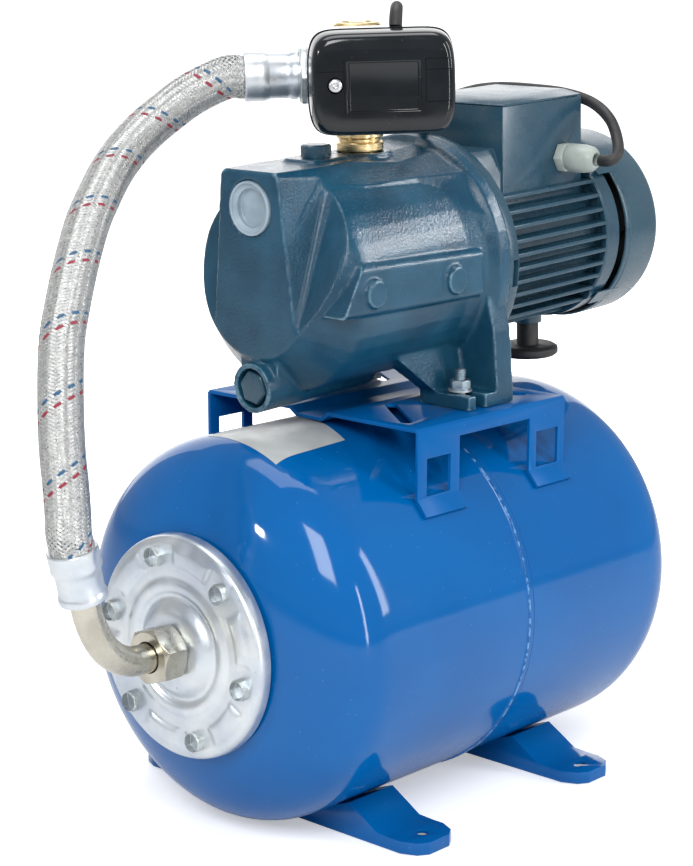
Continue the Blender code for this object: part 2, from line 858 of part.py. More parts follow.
def tower_section(x, rows):
    """A symmetric ring of points from (half width, height) rows, top to bottom."""
    return [(x, y, z) for y, z in rows] + [(x, -y, z) for y, z in reversed(rows)]


def make_tower(parent):
    """The tall suction head: a narrow front face that widens back into the round barrel."""
    top = ridge_top
    half = ridge_half_width
    front = body_front_x
    sections = [
        tower_section(front, [
            (half - 0.003, top), (half, top - 0.003), (half + 0.0046, 0.031),
            (face_half_width, face_corner_z), (0.026, -0.038),
        ]),
        tower_section(shoulder_x, [
            (0.0265, top), (0.0315, top - 0.006), (shoulder_half_width - 0.0040, shoulder_z + 0.006),
            (shoulder_half_width, shoulder_z), (0.030, -0.052),
        ]),
        tower_section(-0.086, [
            (0.0240, top), (0.0290, top - 0.006), (0.0420, 0.0640), (0.0425, 0.0570), (0.040, -0.052),
        ]),
        tower_section(-0.0377, [
            (0.0150, top), (0.0270, top - 0.005), (0.0450, 0.0640), (0.0480, 0.0500), (0.045, -0.052),
        ]),
        tower_section(-0.002, [
            (0.0120, top + 0.003), (0.0320, top - 0.002), (0.0560, 0.0640), (0.0760, 0.036), (0.045, -0.052),
        ]),
    ]
    return place("pump_tower", loft_mesh(sections), pump_paint(), parent, smooth=20)


def barrel_front(inset):
    """Flat face, 45 degree cone and round shoulder that close the body's front, set in by a wall."""
    front = body_front_x + inset
    edge = face_radius + inset * (1 - math.sqrt(2))
    full = barrel_radius - inset
    turns = [math.radians(45 * (1 - i / 3)) for i in range(4)]
    centre = full - front_round
    back = front + centre - edge + front_round * (math.cos(turns[0]) + math.sin(turns[0]))
    shoulder = [(back - front_round * math.sin(turn), centre + front_round * math.cos(turn)) for turn in turns]
    return [(front, 0), (front, edge), *shoulder]


def make_front_slope(name, inset, pump):
    """What the sloping upper front takes off, so that the head stands clear of the round body."""
    shift = inset * math.hypot(1, slope_run)
    high = barrel_radius + 0.03
    fore = body_front_x - 0.05
    outline = [
        (fore, slope_foot_z), (body_front_x + shift, slope_foot_z),
        (body_front_x + shift + slope_run * (high - slope_foot_z), high), (fore, high),
    ]
    reach = barrel_radius + 0.03
    return prism(name, outline, -reach, reach, pump_paint(), pump, "Y")


def make_ridge_bead(side, pump):
    """Raised line along the fold between the head's side and the sloping front."""
    start = Vector((body_front_x + ridge_bead, side * face_half_width, face_corner_z - 0.001))
    end = Vector((shoulder_x, side * shoulder_half_width, shoulder_z))
    outline = polygon(ridge_bead, 6)
    sections = [[(at.x, at.y + a, at.z + b) for a, b in outline] for at in (start, end)]
    return place(f"pump_ridge_bead_{'left' if side < 0 else 'right'}", loft_mesh(sections), pump_paint(), pump)


def make_pump_cavity(pump):
    """Water chamber that follows the barrel's wall, with the nozzle's pocket in the head."""
    back = joint_x + 0.01
    inside = turned(
        "pump_cavity", [*barrel_front(barrel_wall), (back, barrel_radius - barrel_wall), (back, 0)],
        pump_paint(), pump, 28,
    )
    cut(inside, make_front_slope("pump_cavity_slope", barrel_wall, pump))
    pocket_front = body_front_x + 0.0108
    return fuse(inside, rod("nozzle_pocket", pocket_front, -0.120, 0.0185, pump_paint(), pump, 22))


def make_pump_body(pump, world):
    back = joint_x
    flange_front = joint_x - flange_thickness
    cavity = barrel_radius - barrel_wall
    barrel = [
        *barrel_front(0), (flange_front - 0.020, barrel_radius + 0.001),
        (flange_front - 0.006, barrel_radius + 0.005), (flange_front, body_flange_radius - 0.001),
        (flange_front + 0.0012, body_flange_radius), (back, body_flange_radius), (back, 0),
    ]
    body = turned("pump_body", barrel, pump_paint(), pump, 44)
    cut(body, make_front_slope("pump_front_slope", 0, pump))
    fuse(body, make_tower(pump), make_ridge_bead(-1, pump), make_ridge_bead(1, pump))
    fuse(body, *make_pump_ribs(pump))
    spigot = rod("pump_spigot_seat", back - 0.004, back + 0.01, cavity + 0.003, pump_paint(), pump, 28)
    for side in (-1, 1):
        fuse(body, make_pump_foot(side, pump, world))
    cut(body, make_pump_cavity(pump), spigot, *make_pump_bores(pump))
    return body


def make_pump_ribs(pump):
    """Side shelf with two bosses on each side, the drain boss, the priming pad and the outlet boss."""
    made = []
    for side in (-1, 1):
        label = "left" if side < 0 else "right"
        made.append(make_shelf(f"pump_shelf_{label}", side, pump))
        for i, x in enumerate(boss_x):
            tip = boss_reach + 0.0035 * i
            made.append(rod(
                f"pump_boss_{label}_{i + 1}", min(side * 0.06, side * tip), max(side * 0.06, side * tip),
                boss_radius, pump_paint(), pump, 16, "Y", (x, 0, boss_z - 0.002 * i),
            ))
    made.append(rod(
        "pump_drain_boss", drain_front_x, drain_keel_end, drain_boss_radius, pump_paint(), pump, 24,
        centre=(0, 0, drain_z),
    ))
    made.append(block(
        "pump_drain_neck", (body_front_x + 0.003, -drain_boss_radius, drain_z),
        (-0.120, drain_boss_radius, drain_z + 0.02), pump_paint(), pump,
    ))
    pad = [(x, y) for y, x in rounded(0.0165, priming_x - 0.019, priming_x + 0.019, 0.008)]
    made.append(prism(
        "pump_priming_pad", pad, ridge_top - 0.003, ridge_top + 0.0022, pump_paint(), pump
    ))
    made.append(rod(
        "pump_outlet_boss", ridge_top - 0.012, ridge_top + 0.0015, 0.0215, pump_paint(), pump, 24, "Z",
        (outlet_x, 0, 0),
    ))
    return made


def make_shelf(name, side, pump):
    """Raised panel along the barrel's side, its front end cut off on a slant."""
    stations = (
        (-0.1335, 0.0757, 0.0187, -0.0143, 0.595), (-0.1100, 0.0768, 0.0180, -0.0150, 0.3),
        (-0.0400, 0.0798, 0.0150, -0.0175, 0.0), (-0.0120, 0.0812, 0.0140, -0.0180, 0.0),
    )
    sections = []
    for x, reach, high, low, slant in stations:
        outline = [
            (0.046, high), (reach - 0.0022, high), (reach, high - 0.0030),
            (reach, low + 0.0030), (reach - 0.0022, low), (0.046, low),
        ]
        sections.append([(x + slant * (z - 0.0106), side * y, z) for y, z in outline])
    return place(name, loft_mesh(sections), pump_paint(), pump)


def make_pump_foot(side, pump, world):
    """Web below the flange and the slotted foot plate, cut level with the bracket's top."""
    label = "left" if side < 0 else "right"
    low = bracket_top - pump_origin[2] - 0.006
    web_outline = [
        (0.034, low), (foot_plate_outer, low), (foot_plate_outer, low + 0.020), (0.0855, -0.045),
        (0.080, -0.020), (0.050, -0.060),
    ]
    web = prism(
        f"pump_web_{label}", [(side * y, z) for y, z in web_outline], joint_x - 0.018, joint_x,
        pump_paint(), pump, "X",
    )
    inner, outer = side * foot_plate_inner, side * foot_plate_outer
    top = bracket_top + foot_plate_thickness
    plate = block(
        f"pump_foot_plate_{label}", (foot_plate_front, min(inner, outer), bracket_top - 0.012),
        (pump_origin[0] + 0.011, max(inner, outer), top), pump_paint(), world,
    )
    plate_level = top - pump_origin[2] - 0.003
    gusset = place(
        f"pump_gusset_{label}",
        loft_mesh([
            make_gusset_ring(side, plate_level, -0.032, foot_plate_inner + 0.002, 0.0585),
            make_gusset_ring(side, -0.050, -0.078, 0.030, 0.052),
        ]),
        pump_paint(), pump,
    )
    slot = prism(
        f"pump_foot_slot_{label}", slot_outline(side), bracket_top - 0.02, top + 0.012, pump_paint(), world
    )
    ground = block(
        f"pump_foot_ground_{label}", (-0.12, -0.12, bracket_top - 0.05), (0.12, 0.12, bracket_top + gap),
        pump_paint(), world,
    )
    joint_side = block(
        f"pump_foot_joint_{label}", (joint_x, -0.12, low - 0.04), (joint_x + 0.05, 0.12, 0.0), pump_paint(), pump
    )
    fuse(web, plate, gusset)
    cut(web, slot, ground, joint_side)
    return web


def make_gusset_ring(side, z, front, inner, outer):
    back = joint_x - 0.010
    return [(front, side * inner, z), (back, side * inner, z), (back, side * outer, z), (front, side * outer, z)]


def slot_outline(side):
    radius = stud_radius + 0.001
    inner = arc(radius, 0, 180, 6, (stud_x, stud_y - 0.004))
    outline = [(stud_x + radius, foot_plate_outer + 0.01)]
    outline += [(x, 2 * (stud_y - 0.004) - y) for x, y in inner]
    outline += [(stud_x - radius, foot_plate_outer + 0.01)]
    return [(x, side * y) for x, y in outline]


def make_pump_bores(pump):
    front = body_front_x
    return [
        rod("suction_bore", front - 0.01, -0.108, port_bore_radius, pump_paint(), pump, 24, centre=(0, 0, port_z)),
        rod("suction_counterbore", front - 0.01, front + 0.003, port_cap_radius + gap, pump_paint(), pump, 24,
            centre=(0, 0, port_z)),
        rod("drain_recess", drain_front_x - 0.01, drain_front_x + 0.009, drain_recess_radius, pump_paint(), pump,
            22, centre=(0, 0, drain_z)),
        rod("drain_bore", drain_front_x, -0.130, drain_bore_radius, pump_paint(), pump, 16, centre=(0, 0, drain_z)),
        rod("drain_channel", -0.142, -0.125, drain_bore_radius, pump_paint(), pump, 15,
            centre=(0, 0, drain_z + 0.012)),
        rod("priming_bore", 0.04, 0.10, priming_bore_radius, pump_paint(), pump, 20, "Z", (priming_x, 0, 0)),
        rod("outlet_bore", 0.04, 0.10, outlet_bore_radius + 0.004, pump_paint(), pump, 24, "Z",
            (outlet_x, 0, 0)),
    ]


def make_suction_cap(pump):
    """Push-in transport cap, a cup with a round lip."""
    face = body_front_x
    outer = port_cap_radius - gap
    inner = port_bore_radius - gap
    floor = face + 0.005
    profile = (
        (floor, inner - 0.0016), (face + 0.0016, inner - 0.0013), (face + 0.0006, outer - 0.0022),
        (face - 0.0012, outer - 0.0017), (face - 0.0012, outer - 0.0003), (face - 0.0006, outer),
        (face + 0.0026, outer), (face + 0.0026, inner), (face + 0.014, inner - 0.0006),
        (face + 0.014, inner - 0.0022), (floor + 0.0015, inner - 0.0020), (floor + 0.0015, 0), (floor, 0),
    )
    bm = turned_mesh(profile, 24, centre=(0, 0, port_z), closed=True)
    place("suction_port_cap", bm, cap_plastic(), pump, (face, 0, port_z))


def make_plug(name, pump, place_at, axis, seat, direction, hex_width, hex_height, radius, finish):
    """Hexagon plug: `direction` points out of the body along the axis."""
    outline = hexagon(hex_width, 0.2)
    low, high = sorted((seat, seat + direction * hex_height))
    tip = seat + direction * (hex_height - 0.001)
    scale = 0.88
    first = (seat + direction * gap, 1.0)
    stations = [first, (tip, 1.0), (seat + direction * hex_height, scale)]
    sections = []
    for along, grow in stations:
        if axis == "X":
            sections.append([(along, place_at[1] + grow * a, place_at[2] + grow * b) for a, b in outline])
        else:
            sections.append([(place_at[0] + grow * a, place_at[1] + grow * b, along) for a, b in outline])
    plug = place(name, loft_mesh(sections), finish, pump, place_at)
    ends = sorted((seat + direction * 0.001, seat - direction * 0.0085))
    shank = rod(f"{name}_shank", ends[0], ends[1], radius, finish, pump, 16, axis,
                (0, place_at[1], place_at[2]) if axis == "X" else (place_at[0], place_at[1], 0))
    return fuse(plug, shank)


def make_pump_plugs(pump):
    make_plug(
        "drain_plug", pump, (drain_front_x, 0, drain_z), "X", drain_front_x + 0.009, -1, plug_hex_width, 0.0085,
        drain_bore_radius - gap, pump_paint(),
    )
    make_plug(
        "priming_plug", pump, (priming_x, 0, ridge_top), "Z", ridge_top + 0.0022, 1, priming_hex_width, 0.0085,
        priming_bore_radius - gap, pump_paint(),
    )


def make_jet(pump):
    """Nozzle and venturi that draw the suction water in, one behind the other on the shaft line."""
    start = venturi_start
    nozzle = (
        (start - 0.016, 0.0035), (start - 0.016, 0.006), (start - 0.024, 0.0095), (start - 0.0315, 0.0095),
        (start - 0.0315, 0.016), (start - 0.0328, 0.016), (start - 0.0328, 0.0068), (start - 0.026, 0.0068),
    )
    turned("jet_nozzle", nozzle, brass(), pump, 14)
    venturi = (
        (start, 0.0125), (start, 0.0150), (start + 0.012, 0.0105), (venturi_end - 0.012, 0.0125),
        (venturi_end - 0.004, 0.0145), (venturi_end, 0.0145), (venturi_end, 0.0115), (start + 0.022, 0.0075),
        (start + 0.012, 0.0068),
    )
    turned("venturi_tube", venturi, black_plastic(), pump, 14)


def make_diffuser(pump):
    """Guide housing over the impeller, with a collar that holds the venturi."""
    r = diffuser_radius
    profile = (
        (venturi_end + gap, 0.0135), (venturi_end + gap, 0.0185), (-0.0285, 0.0220), (-0.0245, 0.040),
        (-0.0245, r), (joint_x, r), (joint_x, r - 0.0025), (-0.0220, r - 0.0025),
        (-0.0220, 0.040), (-0.0255, 0.0190), (-0.0300, 0.0135),
    )
    diffuser = turned("diffuser", profile, black_plastic(), pump, 22)
    for i in range(4):
        turn = math.tau * (i + 0.5) / 4
        window = block(
            f"diffuser_window_{i + 1}", (-0.006, -0.009, r - 0.008), (0.004, 0.009, r + 0.008),
            black_plastic(), pump,
        )
        window.data.transform(Matrix.Rotation(turn, 4, "X"))
        cut(diffuser, window)


def make_impeller(shaft):
    """Closed brass impeller: back plate, curved vanes, front plate with its eye."""
    x = impeller_x
    r = impeller_radius
    bore = shaft_radius - gap
    back = (
        (x + 0.004, bore + 2 * gap), (x + 0.004, r), (x + 0.0058, r), (x + 0.0075, 0.014), (x + 0.016, 0.012),
        (x + 0.016, bore + 2 * gap),
    )
    impeller = turned("impeller", back, brass(), shaft, 20)
    front = ((x - 0.0045, 0.016), (x - 0.0085, 0.016), (x - 0.0085, 0.0185), (x - 0.0040, 0.022), (x - 0.0025, r), (x - 0.0008, r), (x - 0.0012, 0.022))
    fuse(impeller, turned("impeller_front_plate", front, brass(), shaft, 20))
    for i in range(impeller_vanes):
        start = math.tau * i / impeller_vanes
        path = []
        for k in range(5):
            share = k / 4
            radius = 0.0195 + (r - 0.0015 - 0.0195) * share
            turn = start + 1.15 * share
            path.append(Vector((radius * math.cos(turn), radius * math.sin(turn))))
        outline = []
        for k, point in enumerate(path):
            ahead = path[min(k + 1, 4)] - path[max(k - 1, 0)]
            side = Vector((-ahead.y, ahead.x)).normalized() * 0.0009
            outline.append(tuple(point + side))
        for k in range(4, -1, -1):
            ahead = path[min(k + 1, 4)] - path[max(k - 1, 0)]
            side = Vector((-ahead.y, ahead.x)).normalized() * 0.0009
            outline.append(tuple(path[k] - side))
        fuse(impeller, prism(f"impeller_vane_{i + 1}", outline, x - 0.0020, x + 0.0045, brass(), shaft, "X"))
    return impeller


def make_shaft(shaft):
    r = shaft_radius
    start = impeller_x - 0.006
    profile = (
        (start, 0), (start, r - 0.002), (start + 0.005, r - 0.002), (start + 0.005, r), (front_bearing_x - 0.007, r),
        (front_bearing_x - 0.007, r + 0.001), (rotor_start - 0.004, r + 0.001), (rotor_start - 0.004, r + 0.003),
        (rotor_end + 0.004, r + 0.003), (rotor_end + 0.004, r + 0.001), (rear_bearing_x + 0.008, r + 0.001),
        (rear_bearing_x + 0.008, r - 0.001), (cover_rear - 0.016, r - 0.001), (cover_rear - 0.016, 0),
    )
    turned("motor_shaft", profile, steel(), shaft, 14)
    inner = r + 0.003 + gap
    rotor = ((rotor_start, inner), (rotor_start, rotor_radius), (rotor_end, rotor_radius), (rotor_end, inner))
    turned("rotor", rotor, copper(), shaft, 22)


def make_bearing(name, x, outer, parent):
    inner = shaft_radius + 0.001 + gap
    half = bearing_width / 2
    profile = (
        (x - half, inner), (x - half, inner + 0.0028), (x - half + 0.0012, inner + 0.0034),
        (x - half + 0.0012, outer - 0.0032), (x - half, outer - 0.0026), (x - half, outer), (x + half, outer),
        (x + half, outer - 0.0026), (x + half - 0.0012, outer - 0.0032), (x + half - 0.0012, inner + 0.0034),
        (x + half, inner + 0.0028), (x + half, inner),
    )
    turned(name, profile, steel(), parent, 14)


def make_seal(pump):
    inner = shaft_radius + gap
    profile = (
        (impeller_x + 0.0165, inner), (impeller_x + 0.0165, 0.0115), (impeller_x + 0.0215, 0.0135),
        (impeller_x + 0.0275, 0.0135), (impeller_x + 0.0275, inner),
    )
    turned("mechanical_seal", profile, black_rubber(), pump, 14)


# Motor


def make_motor_bracket(pump):
    """Cast plate between pump and motor, carrying the front bearing."""
    front = joint_x + gap
    back = bracket_flange_end
    r = bracket_flange_radius
    seat = bearing_outer_radius + gap
    pocket = front_bearing_x - bearing_width / 2
    profile = [
        (front, 0.0145), (front, r - 0.001), (front + 0.001, r), (back, r), (back + 0.0025, r - 0.004),
        (back + 0.0025, motor_bore_radius - 0.0006), (motor_front_x + 0.010, motor_bore_radius - 0.0006),
        (motor_front_x + 0.010, 0.030), (front_bearing_x + bearing_width / 2, 0.0240),
        (front_bearing_x + bearing_width / 2, seat), (pocket - gap, seat), (pocket - gap, 0.0145),
    ]
    plate = turned("motor_bracket", profile, pump_paint(), pump, 32)
    for side in (-1, 1):
        label = "left" if side < 0 else "right"
        window = block(
            f"bracket_window_{label}", (back - 0.006, min(side * 0.060, side * 0.1), -0.016),
            (back + 0.004 - 0.0045, max(side * 0.060, side * 0.1), 0.003), pump_paint(), pump,
        )
        cut(plate, window)
    return plate


def finned_outline():
    """Motor housing across its length: fins out to the envelope on both sides, core between them."""
    right = []
    half = fin_thickness / 2
    def reach(radius, z):
        return math.sqrt(radius * radius - z * z)
    for i in range(fin_count):
        z = fin_top_z - fin_pitch * i
        tip = reach(motor_fin_radius, z)
        root_high = reach(motor_core_radius, z + half) if abs(z + half) < motor_core_radius else 0.0
        root_low = reach(motor_core_radius, z - half) if abs(z - half) < motor_core_radius else 0.0
        right += [(root_high, z + half), (tip, z + half * 0.8), (tip, z - half * 0.8), (root_low, z - half)]
    low = right[-1][1]
    bottom = [(0.026, -motor_core_radius - 0.004), (0.012, -motor_core_radius - 0.0065)]
    top = [(0.0385, motor_core_radius - 0.010)]
    half_ring = top + right + [p for p in bottom if p[1] < low]
    return half_ring + [(-y, z) for y, z in reversed(half_ring)]


def make_motor_housing(pump):
    outline = finned_outline()
    housing = prism(
        "motor_housing", outline, bracket_flange_end + 0.0025 + gap, motor_rear_x, pump_paint(), pump, "X"
    )
    box = place(
        "terminal_box_base",
        box_mesh(
            (box_front, -box_half_width, box_base_z - 0.012), (box_rear, box_half_width, lid_z), 0.0
        ), pump_paint(), pump,
    )
    shoulder_outline = [
        (-0.043, 0.030), (0.043, 0.030), (0.043, 0.056), (0.036, 0.073), (-0.036, 0.073), (-0.043, 0.056),
    ]
    shoulder = prism(
        "terminal_shoulder", shoulder_outline, bracket_flange_end + 0.0045, box_front + 0.0047, pump_paint(),
        pump, "X",
    )
    fuse(housing, box, shoulder)
    bore = rod("motor_bore", 0.0, 0.18, motor_bore_radius, pump_paint(), pump, 28)
    inside = block(
        "terminal_box_inside", (box_front + 0.004, 0.004 - box_half_width, motor_core_radius + 0.004),
        (box_rear - 0.004, box_half_width - 0.004, lid_z + 0.02), pump_paint(), pump,
    )
    entry = rod(
        "gland_entry", -0.06, -0.03, 0.0062, pump_paint(), pump, 16, "Y", (gland_x, 0, gland_z)
    )
    wire_hole = rod(
        "wire_hole", 0.030, 0.080, 0.007, pump_paint(), pump, 12, "Z", (box_front + 0.020, 0, 0)
    )
    cut(housing, bore, inside, entry, wire_hole)
    stem = rod(
        "post_stem", post_base_z + post_base_thickness, -0.054, post_radius + 0.0025, pump_paint(), pump, 20, "Z",
        (post_x, 0, 0),
    )
    fuse(housing, helper_cut_above(stem, pump))
    socket = rod(
        "post_socket", -0.10, -0.066, post_radius - 0.002, pump_paint(), pump, 16, "Z", (post_x, 0, 0)
    )
    cut(housing, socket)
    return housing


def helper_cut_above(stem, pump):
    """Keeps the stem's boss short: the post below it is a piece of its own."""
    below = block(
        "post_stem_trim", (post_x - 0.03, -0.03, -0.12), (post_x + 0.03, 0.03, -0.0705), pump_paint(), pump
    )
    return cut(stem, below)


def make_motor_foot(pump):
    """Rubber buffer that stands under the motor's rear end."""
    top = -0.0705 - gap
    profile = (
        (post_base_z, 0), (post_base_z, post_base_radius - 0.002), (post_base_z + 0.002, post_base_radius),
        (post_base_z + post_base_thickness - 0.002, post_base_radius),
        (post_base_z + post_base_thickness, post_base_radius - 0.003),
        (post_base_z + post_base_thickness, post_radius), (top, post_radius), (top, post_radius - 0.002 - gap),
        (-0.0665, post_radius - 0.002 - gap), (-0.0665, 0),
    )
    turned("motor_foot", profile, black_rubber(), pump, 18, "Z", (post_x, 0, 0))


def make_stator(pump):
    inner = rotor_radius + 0.0006
    outer = motor_bore_radius - gap
    profile = (
        (rotor_start - 0.014, inner + 0.003), (rotor_start - 0.014, outer - 0.006), (rotor_start, outer - 0.004),
        (rotor_start, outer), (rotor_end, outer), (rotor_end, outer - 0.004), (rotor_end + 0.014, outer - 0.006),
        (rotor_end + 0.014, inner + 0.003), (rotor_end, inner + 0.001), (rotor_end, inner), (rotor_start, inner),
        (rotor_start, inner + 0.001),
    )
    turned("stator", profile, copper(), pump, 20)


def make_end_shield(pump):
    """Rear bearing shield with round bolt lugs."""
    front = motor_rear_x + gap
    r = shield_radius
    seat = bearing_outer_radius + gap
    pocket = rear_bearing_x + bearing_width / 2 + gap
    profile = (
        (front - 0.006, motor_bore_radius - gap), (front, motor_bore_radius - gap), (front, r),
        (shield_end - 0.003, r), (shield_end, r - 0.006), (shield_end + 0.002, 0.030), (shield_end + 0.002, 0.0095),
        (pocket, 0.0095), (pocket, seat), (rear_bearing_x - bearing_width / 2, seat),
        (rear_bearing_x - bearing_width / 2, 0.024), (front - 0.002, 0.038),
    )
    shield = turned("end_shield", profile, pump_paint(), pump, 24)
    for i in range(4):
        turn = math.radians(45 + 90 * i)
        centre = (0, 0.0615 * math.sin(turn), 0.0615 * math.cos(turn))
        fuse(shield, rod(
            f"shield_lug_{i + 1}", front, shield_end + 0.001, 0.0075, pump_paint(), pump, 10, centre=centre
        ))
    return shield


def make_fan(shaft):
    hub_start = 0.168
    profile = (
        (hub_start, shaft_radius - 0.001 + gap), (hub_start, 0.012), (hub_start + 0.004, 0.014),
        (hub_start + 0.004, 0.040), (hub_start + 0.0065, 0.040), (hub_start + 0.0065, 0.014),
        (hub_start + 0.026, 0.012), (hub_start + 0.026, shaft_radius - 0.001 + gap),
    )
    fan = turned("fan", profile, black_plastic(), shaft, 18)
    for i in range(fan_blades):
        blade = block(
            f"fan_blade_{i + 1}", (hub_start + 0.0005, -0.0009, 0.0115), (hub_start + 0.024, 0.0009, fan_radius),
            black_plastic(), shaft,
        )
        blade.data.transform(Matrix.Rotation(math.tau * i / fan_blades, 4, "X"))
        fuse(fan, blade)
    return fan


def make_fan_cover(pump):
    """Drawn steel cowl with a pierced grille in its rear face."""
    front, rear, r, t = cover_front, cover_rear, cover_radius, cover_wall
    profile = (
        (front, r - t), (front, r), (rear - 0.009, r), (rear - 0.0032, r - 0.0028), (rear, r - 0.009), (rear, 0),
        (rear - t, 0), (rear - t, r - 0.0095), (rear - 0.0045, r - 0.0045), (rear - 0.0095, r - t),
    )
    bm = turned_mesh(profile, 36, closed=True)
    cover = place("fan_cover", bm, pump_paint(), pump)
    for i in range(cover_spokes):
        window = prism(
            f"cover_window_{i + 1}", cover_window(), rear - 0.01, rear + 0.01, pump_paint(), pump, "X"
        )
        window.data.transform(Matrix.Rotation(math.tau * (i + 0.5) / cover_spokes, 4, "X"))
        cut(cover, window)
    for i in range(4):
        turn = math.radians(45 + 90 * i)
        strap = block(
            f"cover_strap_{i + 1}", (shield_end - 0.004, -0.007, shield_radius + 0.0078),
            (front + 0.012, 0.007, r - t / 2), pump_paint(), pump,
        )
        strap.data.transform(Matrix.Rotation(turn, 4, "X"))
        fuse(cover, strap)
    return cover


def cover_window():
    """One opening of the grille, between two spokes."""
    half = 360 / cover_spokes / 2 - 4.5
    return arc(0.056, 90 - half, 90 + half, 3) + arc(0.024, 90 + half - 2, 90 - half + 2, 2)


def make_terminal_lid(pump):
    """Lid with broad chamfers all round, screwed onto the cast box."""
    w, z0, z1, c = box_half_width, lid_z + gap, lid_top, lid_chamfer
    low, high = box_front, box_rear
    sections = [
        [(low, -w, z0), (high, -w, z0), (high, w, z0), (low, w, z0)],
        [(low, -w, z0 + 0.0012), (high, -w, z0 + 0.0012), (high, w, z0 + 0.0012), (low, w, z0 + 0.0012)],
        [(low + c, c - w, z1), (high - 0.004, c - w, z1), (high - 0.004, w - c, z1), (low + c, w - c, z1)],
    ]
    lid = place("terminal_box_lid", loft_mesh(sections), pump_paint(), pump)
    hollow = block(
        "lid_hollow", (low + 0.008, 0.012 - w, z0 - 0.01), (high - 0.008, w - 0.012, z0 + 0.0024),
        pump_paint(), pump,
    )
    return cut(lid, hollow)


def make_terminal_parts(pump):
    floor = motor_core_radius + 0.004 + gap
    strip = block(
        "terminal_block", (box_front + 0.034, 0.002, floor), (box_rear - 0.016, 0.024, floor + 0.014),
        grey_plastic(), pump,
    )
    for i in range(3):
        x = box_front + 0.042 + 0.013 * i
        cut(strip, rod(
            f"terminal_screw_well_{i + 1}", floor + 0.006, floor + 0.03, 0.0032, grey_plastic(), pump, 12, "Z",
            (x, 0.013, 0),
        ))
    rod(
        "capacitor", box_front + 0.009, box_rear - 0.010, 0.0165, black_plastic(), pump, 24,
        centre=(0, -0.020, floor + 0.0168),
    )


def make_gland(pump):
    """Cable gland on the side of the terminal box: body with its hexagon, then the domed nut."""
    wall = -box_half_width - gap
    hex_end = wall - 0.0075
    body = prism(
        "gland_body", [(gland_x + a, gland_z + b) for a, b in hexagon(0.0195)], hex_end, wall, grey_plastic(),
        pump, "Y",
    )
    thread = rod(
        "gland_thread", hex_end - 0.009, -box_half_width + 0.010, 0.0058, grey_plastic(), pump, 16, "Y",
        (gland_x, 0, gland_z),
    )
    fuse(body, thread)
    cut(body, rod(
        "gland_bore", -0.08, -0.02, lead_radius - 0.0002, grey_plastic(), pump, 12, "Y", (gland_x, 0, gland_z)
    ))
    start, end = hex_end - gap, -gland_reach
    r = gland_radius
    profile = (
        (start, 0.0062), (start, r - 0.0008), (start - 0.0015, r), (start - 0.012, r), (end + 0.004, r - 0.0012),
        (end, r - 0.0045), (end, lead_radius + 0.0003), (start - 0.0105, lead_radius + 0.0003),
        (start - 0.0105, 0.0062),
    )
    turned("gland_nut", profile, grey_plastic(), pump, 16, "Y", (gland_x, 0, gland_z))


# Fitting, switch and hose


def make_fitting(fit):
    """Brass multi-way fitting: bottom thread, body with the hose branch, open top port."""
    r = fitting_radius
    seat = ridge_top + 0.0015 + gap
    profile = (
        (0.060, 0), (0.060, outlet_bore_radius), (0.0765, outlet_bore_radius), (seat, outlet_bore_radius),
        (seat, r - 0.0012), (seat + 0.002, r), (seat + 0.006, r), (seat + 0.007, r - 0.0014),
        (seat + 0.009, r - 0.0014), (seat + 0.010, r), (hose_port_z - 0.021, r - 0.0008),
        (fitting_top - 0.018, r - 0.0008), (fitting_top - 0.016, r - 0.0022), (fitting_top - 0.0125, r - 0.0022),
        (fitting_top - 0.011, r), (fitting_top - 0.0012, r),
        (fitting_top, r - 0.0012), (fitting_top, 0),
    )
    fitting = turned("outlet_fitting", profile, brass(), fit, 20, "Z")
    branch = rod(
        "fitting_branch", 0.0021, hose_port_reach - 0.0135, r - 0.0017, brass(), fit, 18, centre=(0, 0, hose_port_z)
    )
    thread = rod(
        "fitting_thread", 0.0043, hose_port_reach + 0.006, 0.0128, brass(), fit, 14, centre=(0, 0, hose_port_z)
    )
    side_boss = rod(
        "fitting_side_boss", 0.0032, 0.0205, 0.010, brass(), fit, 17, "Y", (0, 0, switch_port_z)
    )
    fuse(fitting, branch, thread, side_boss)
    cut(
        fitting,
        rod("fitting_way_up", 0.05, fitting_top + 0.01, 0.0107, brass(), fit, 19, "Z"),
        rod("fitting_way_out", 0.0011, 0.09, 0.0095, brass(), fit, 16, centre=(0, 0, hose_port_z)),
        rod("fitting_way_side", 0.0024, 0.06, 0.0045, brass(), fit, 13, "Y", (0, 0, switch_port_z)),
    )
    return fitting


def make_top_ferrule(fit):
    """Crimped hose end with its swivel nut, on the fitting's branch."""
    start = hose_port_reach
    end = start + ferrule_length
    profile = (
        (start - 0.0130, 0.0132), (start - 0.0130, 0.0178), (start - 0.0010, 0.0178), (start - 0.0006, 0.0150),
        (start, 0.0150), (start + 0.0004, 0.0160), (start + 0.0045, 0.0160), (start + 0.0060, crimp_radius - 0.0002),
        (end - 0.0165, crimp_radius), (end - 0.0135, ferrule_radius), (end - 0.0008, ferrule_radius),
        (end, ferrule_radius - 0.0008), (end, 0.0085), (start + 0.008, 0.0085), (start + 0.008, 0.0132),
    )
    ferrule = turned("hose_top_ferrule", profile, zinc(), fit, 16, centre=(0, 0, hose_port_z))
    flats = prism(
        "hose_top_nut", [(a, hose_port_z + b) for a, b in hexagon(0.0370)], start - 0.0128, start - 0.0012, zinc(),
        fit, "X",
    )
    fuse(ferrule, flats)
    cut(ferrule, rod(
        "hose_top_nut_bore", start - 0.02, start + 0.002, 0.0132, zinc(), fit, 16, centre=(0, 0, hose_port_z)
    ))


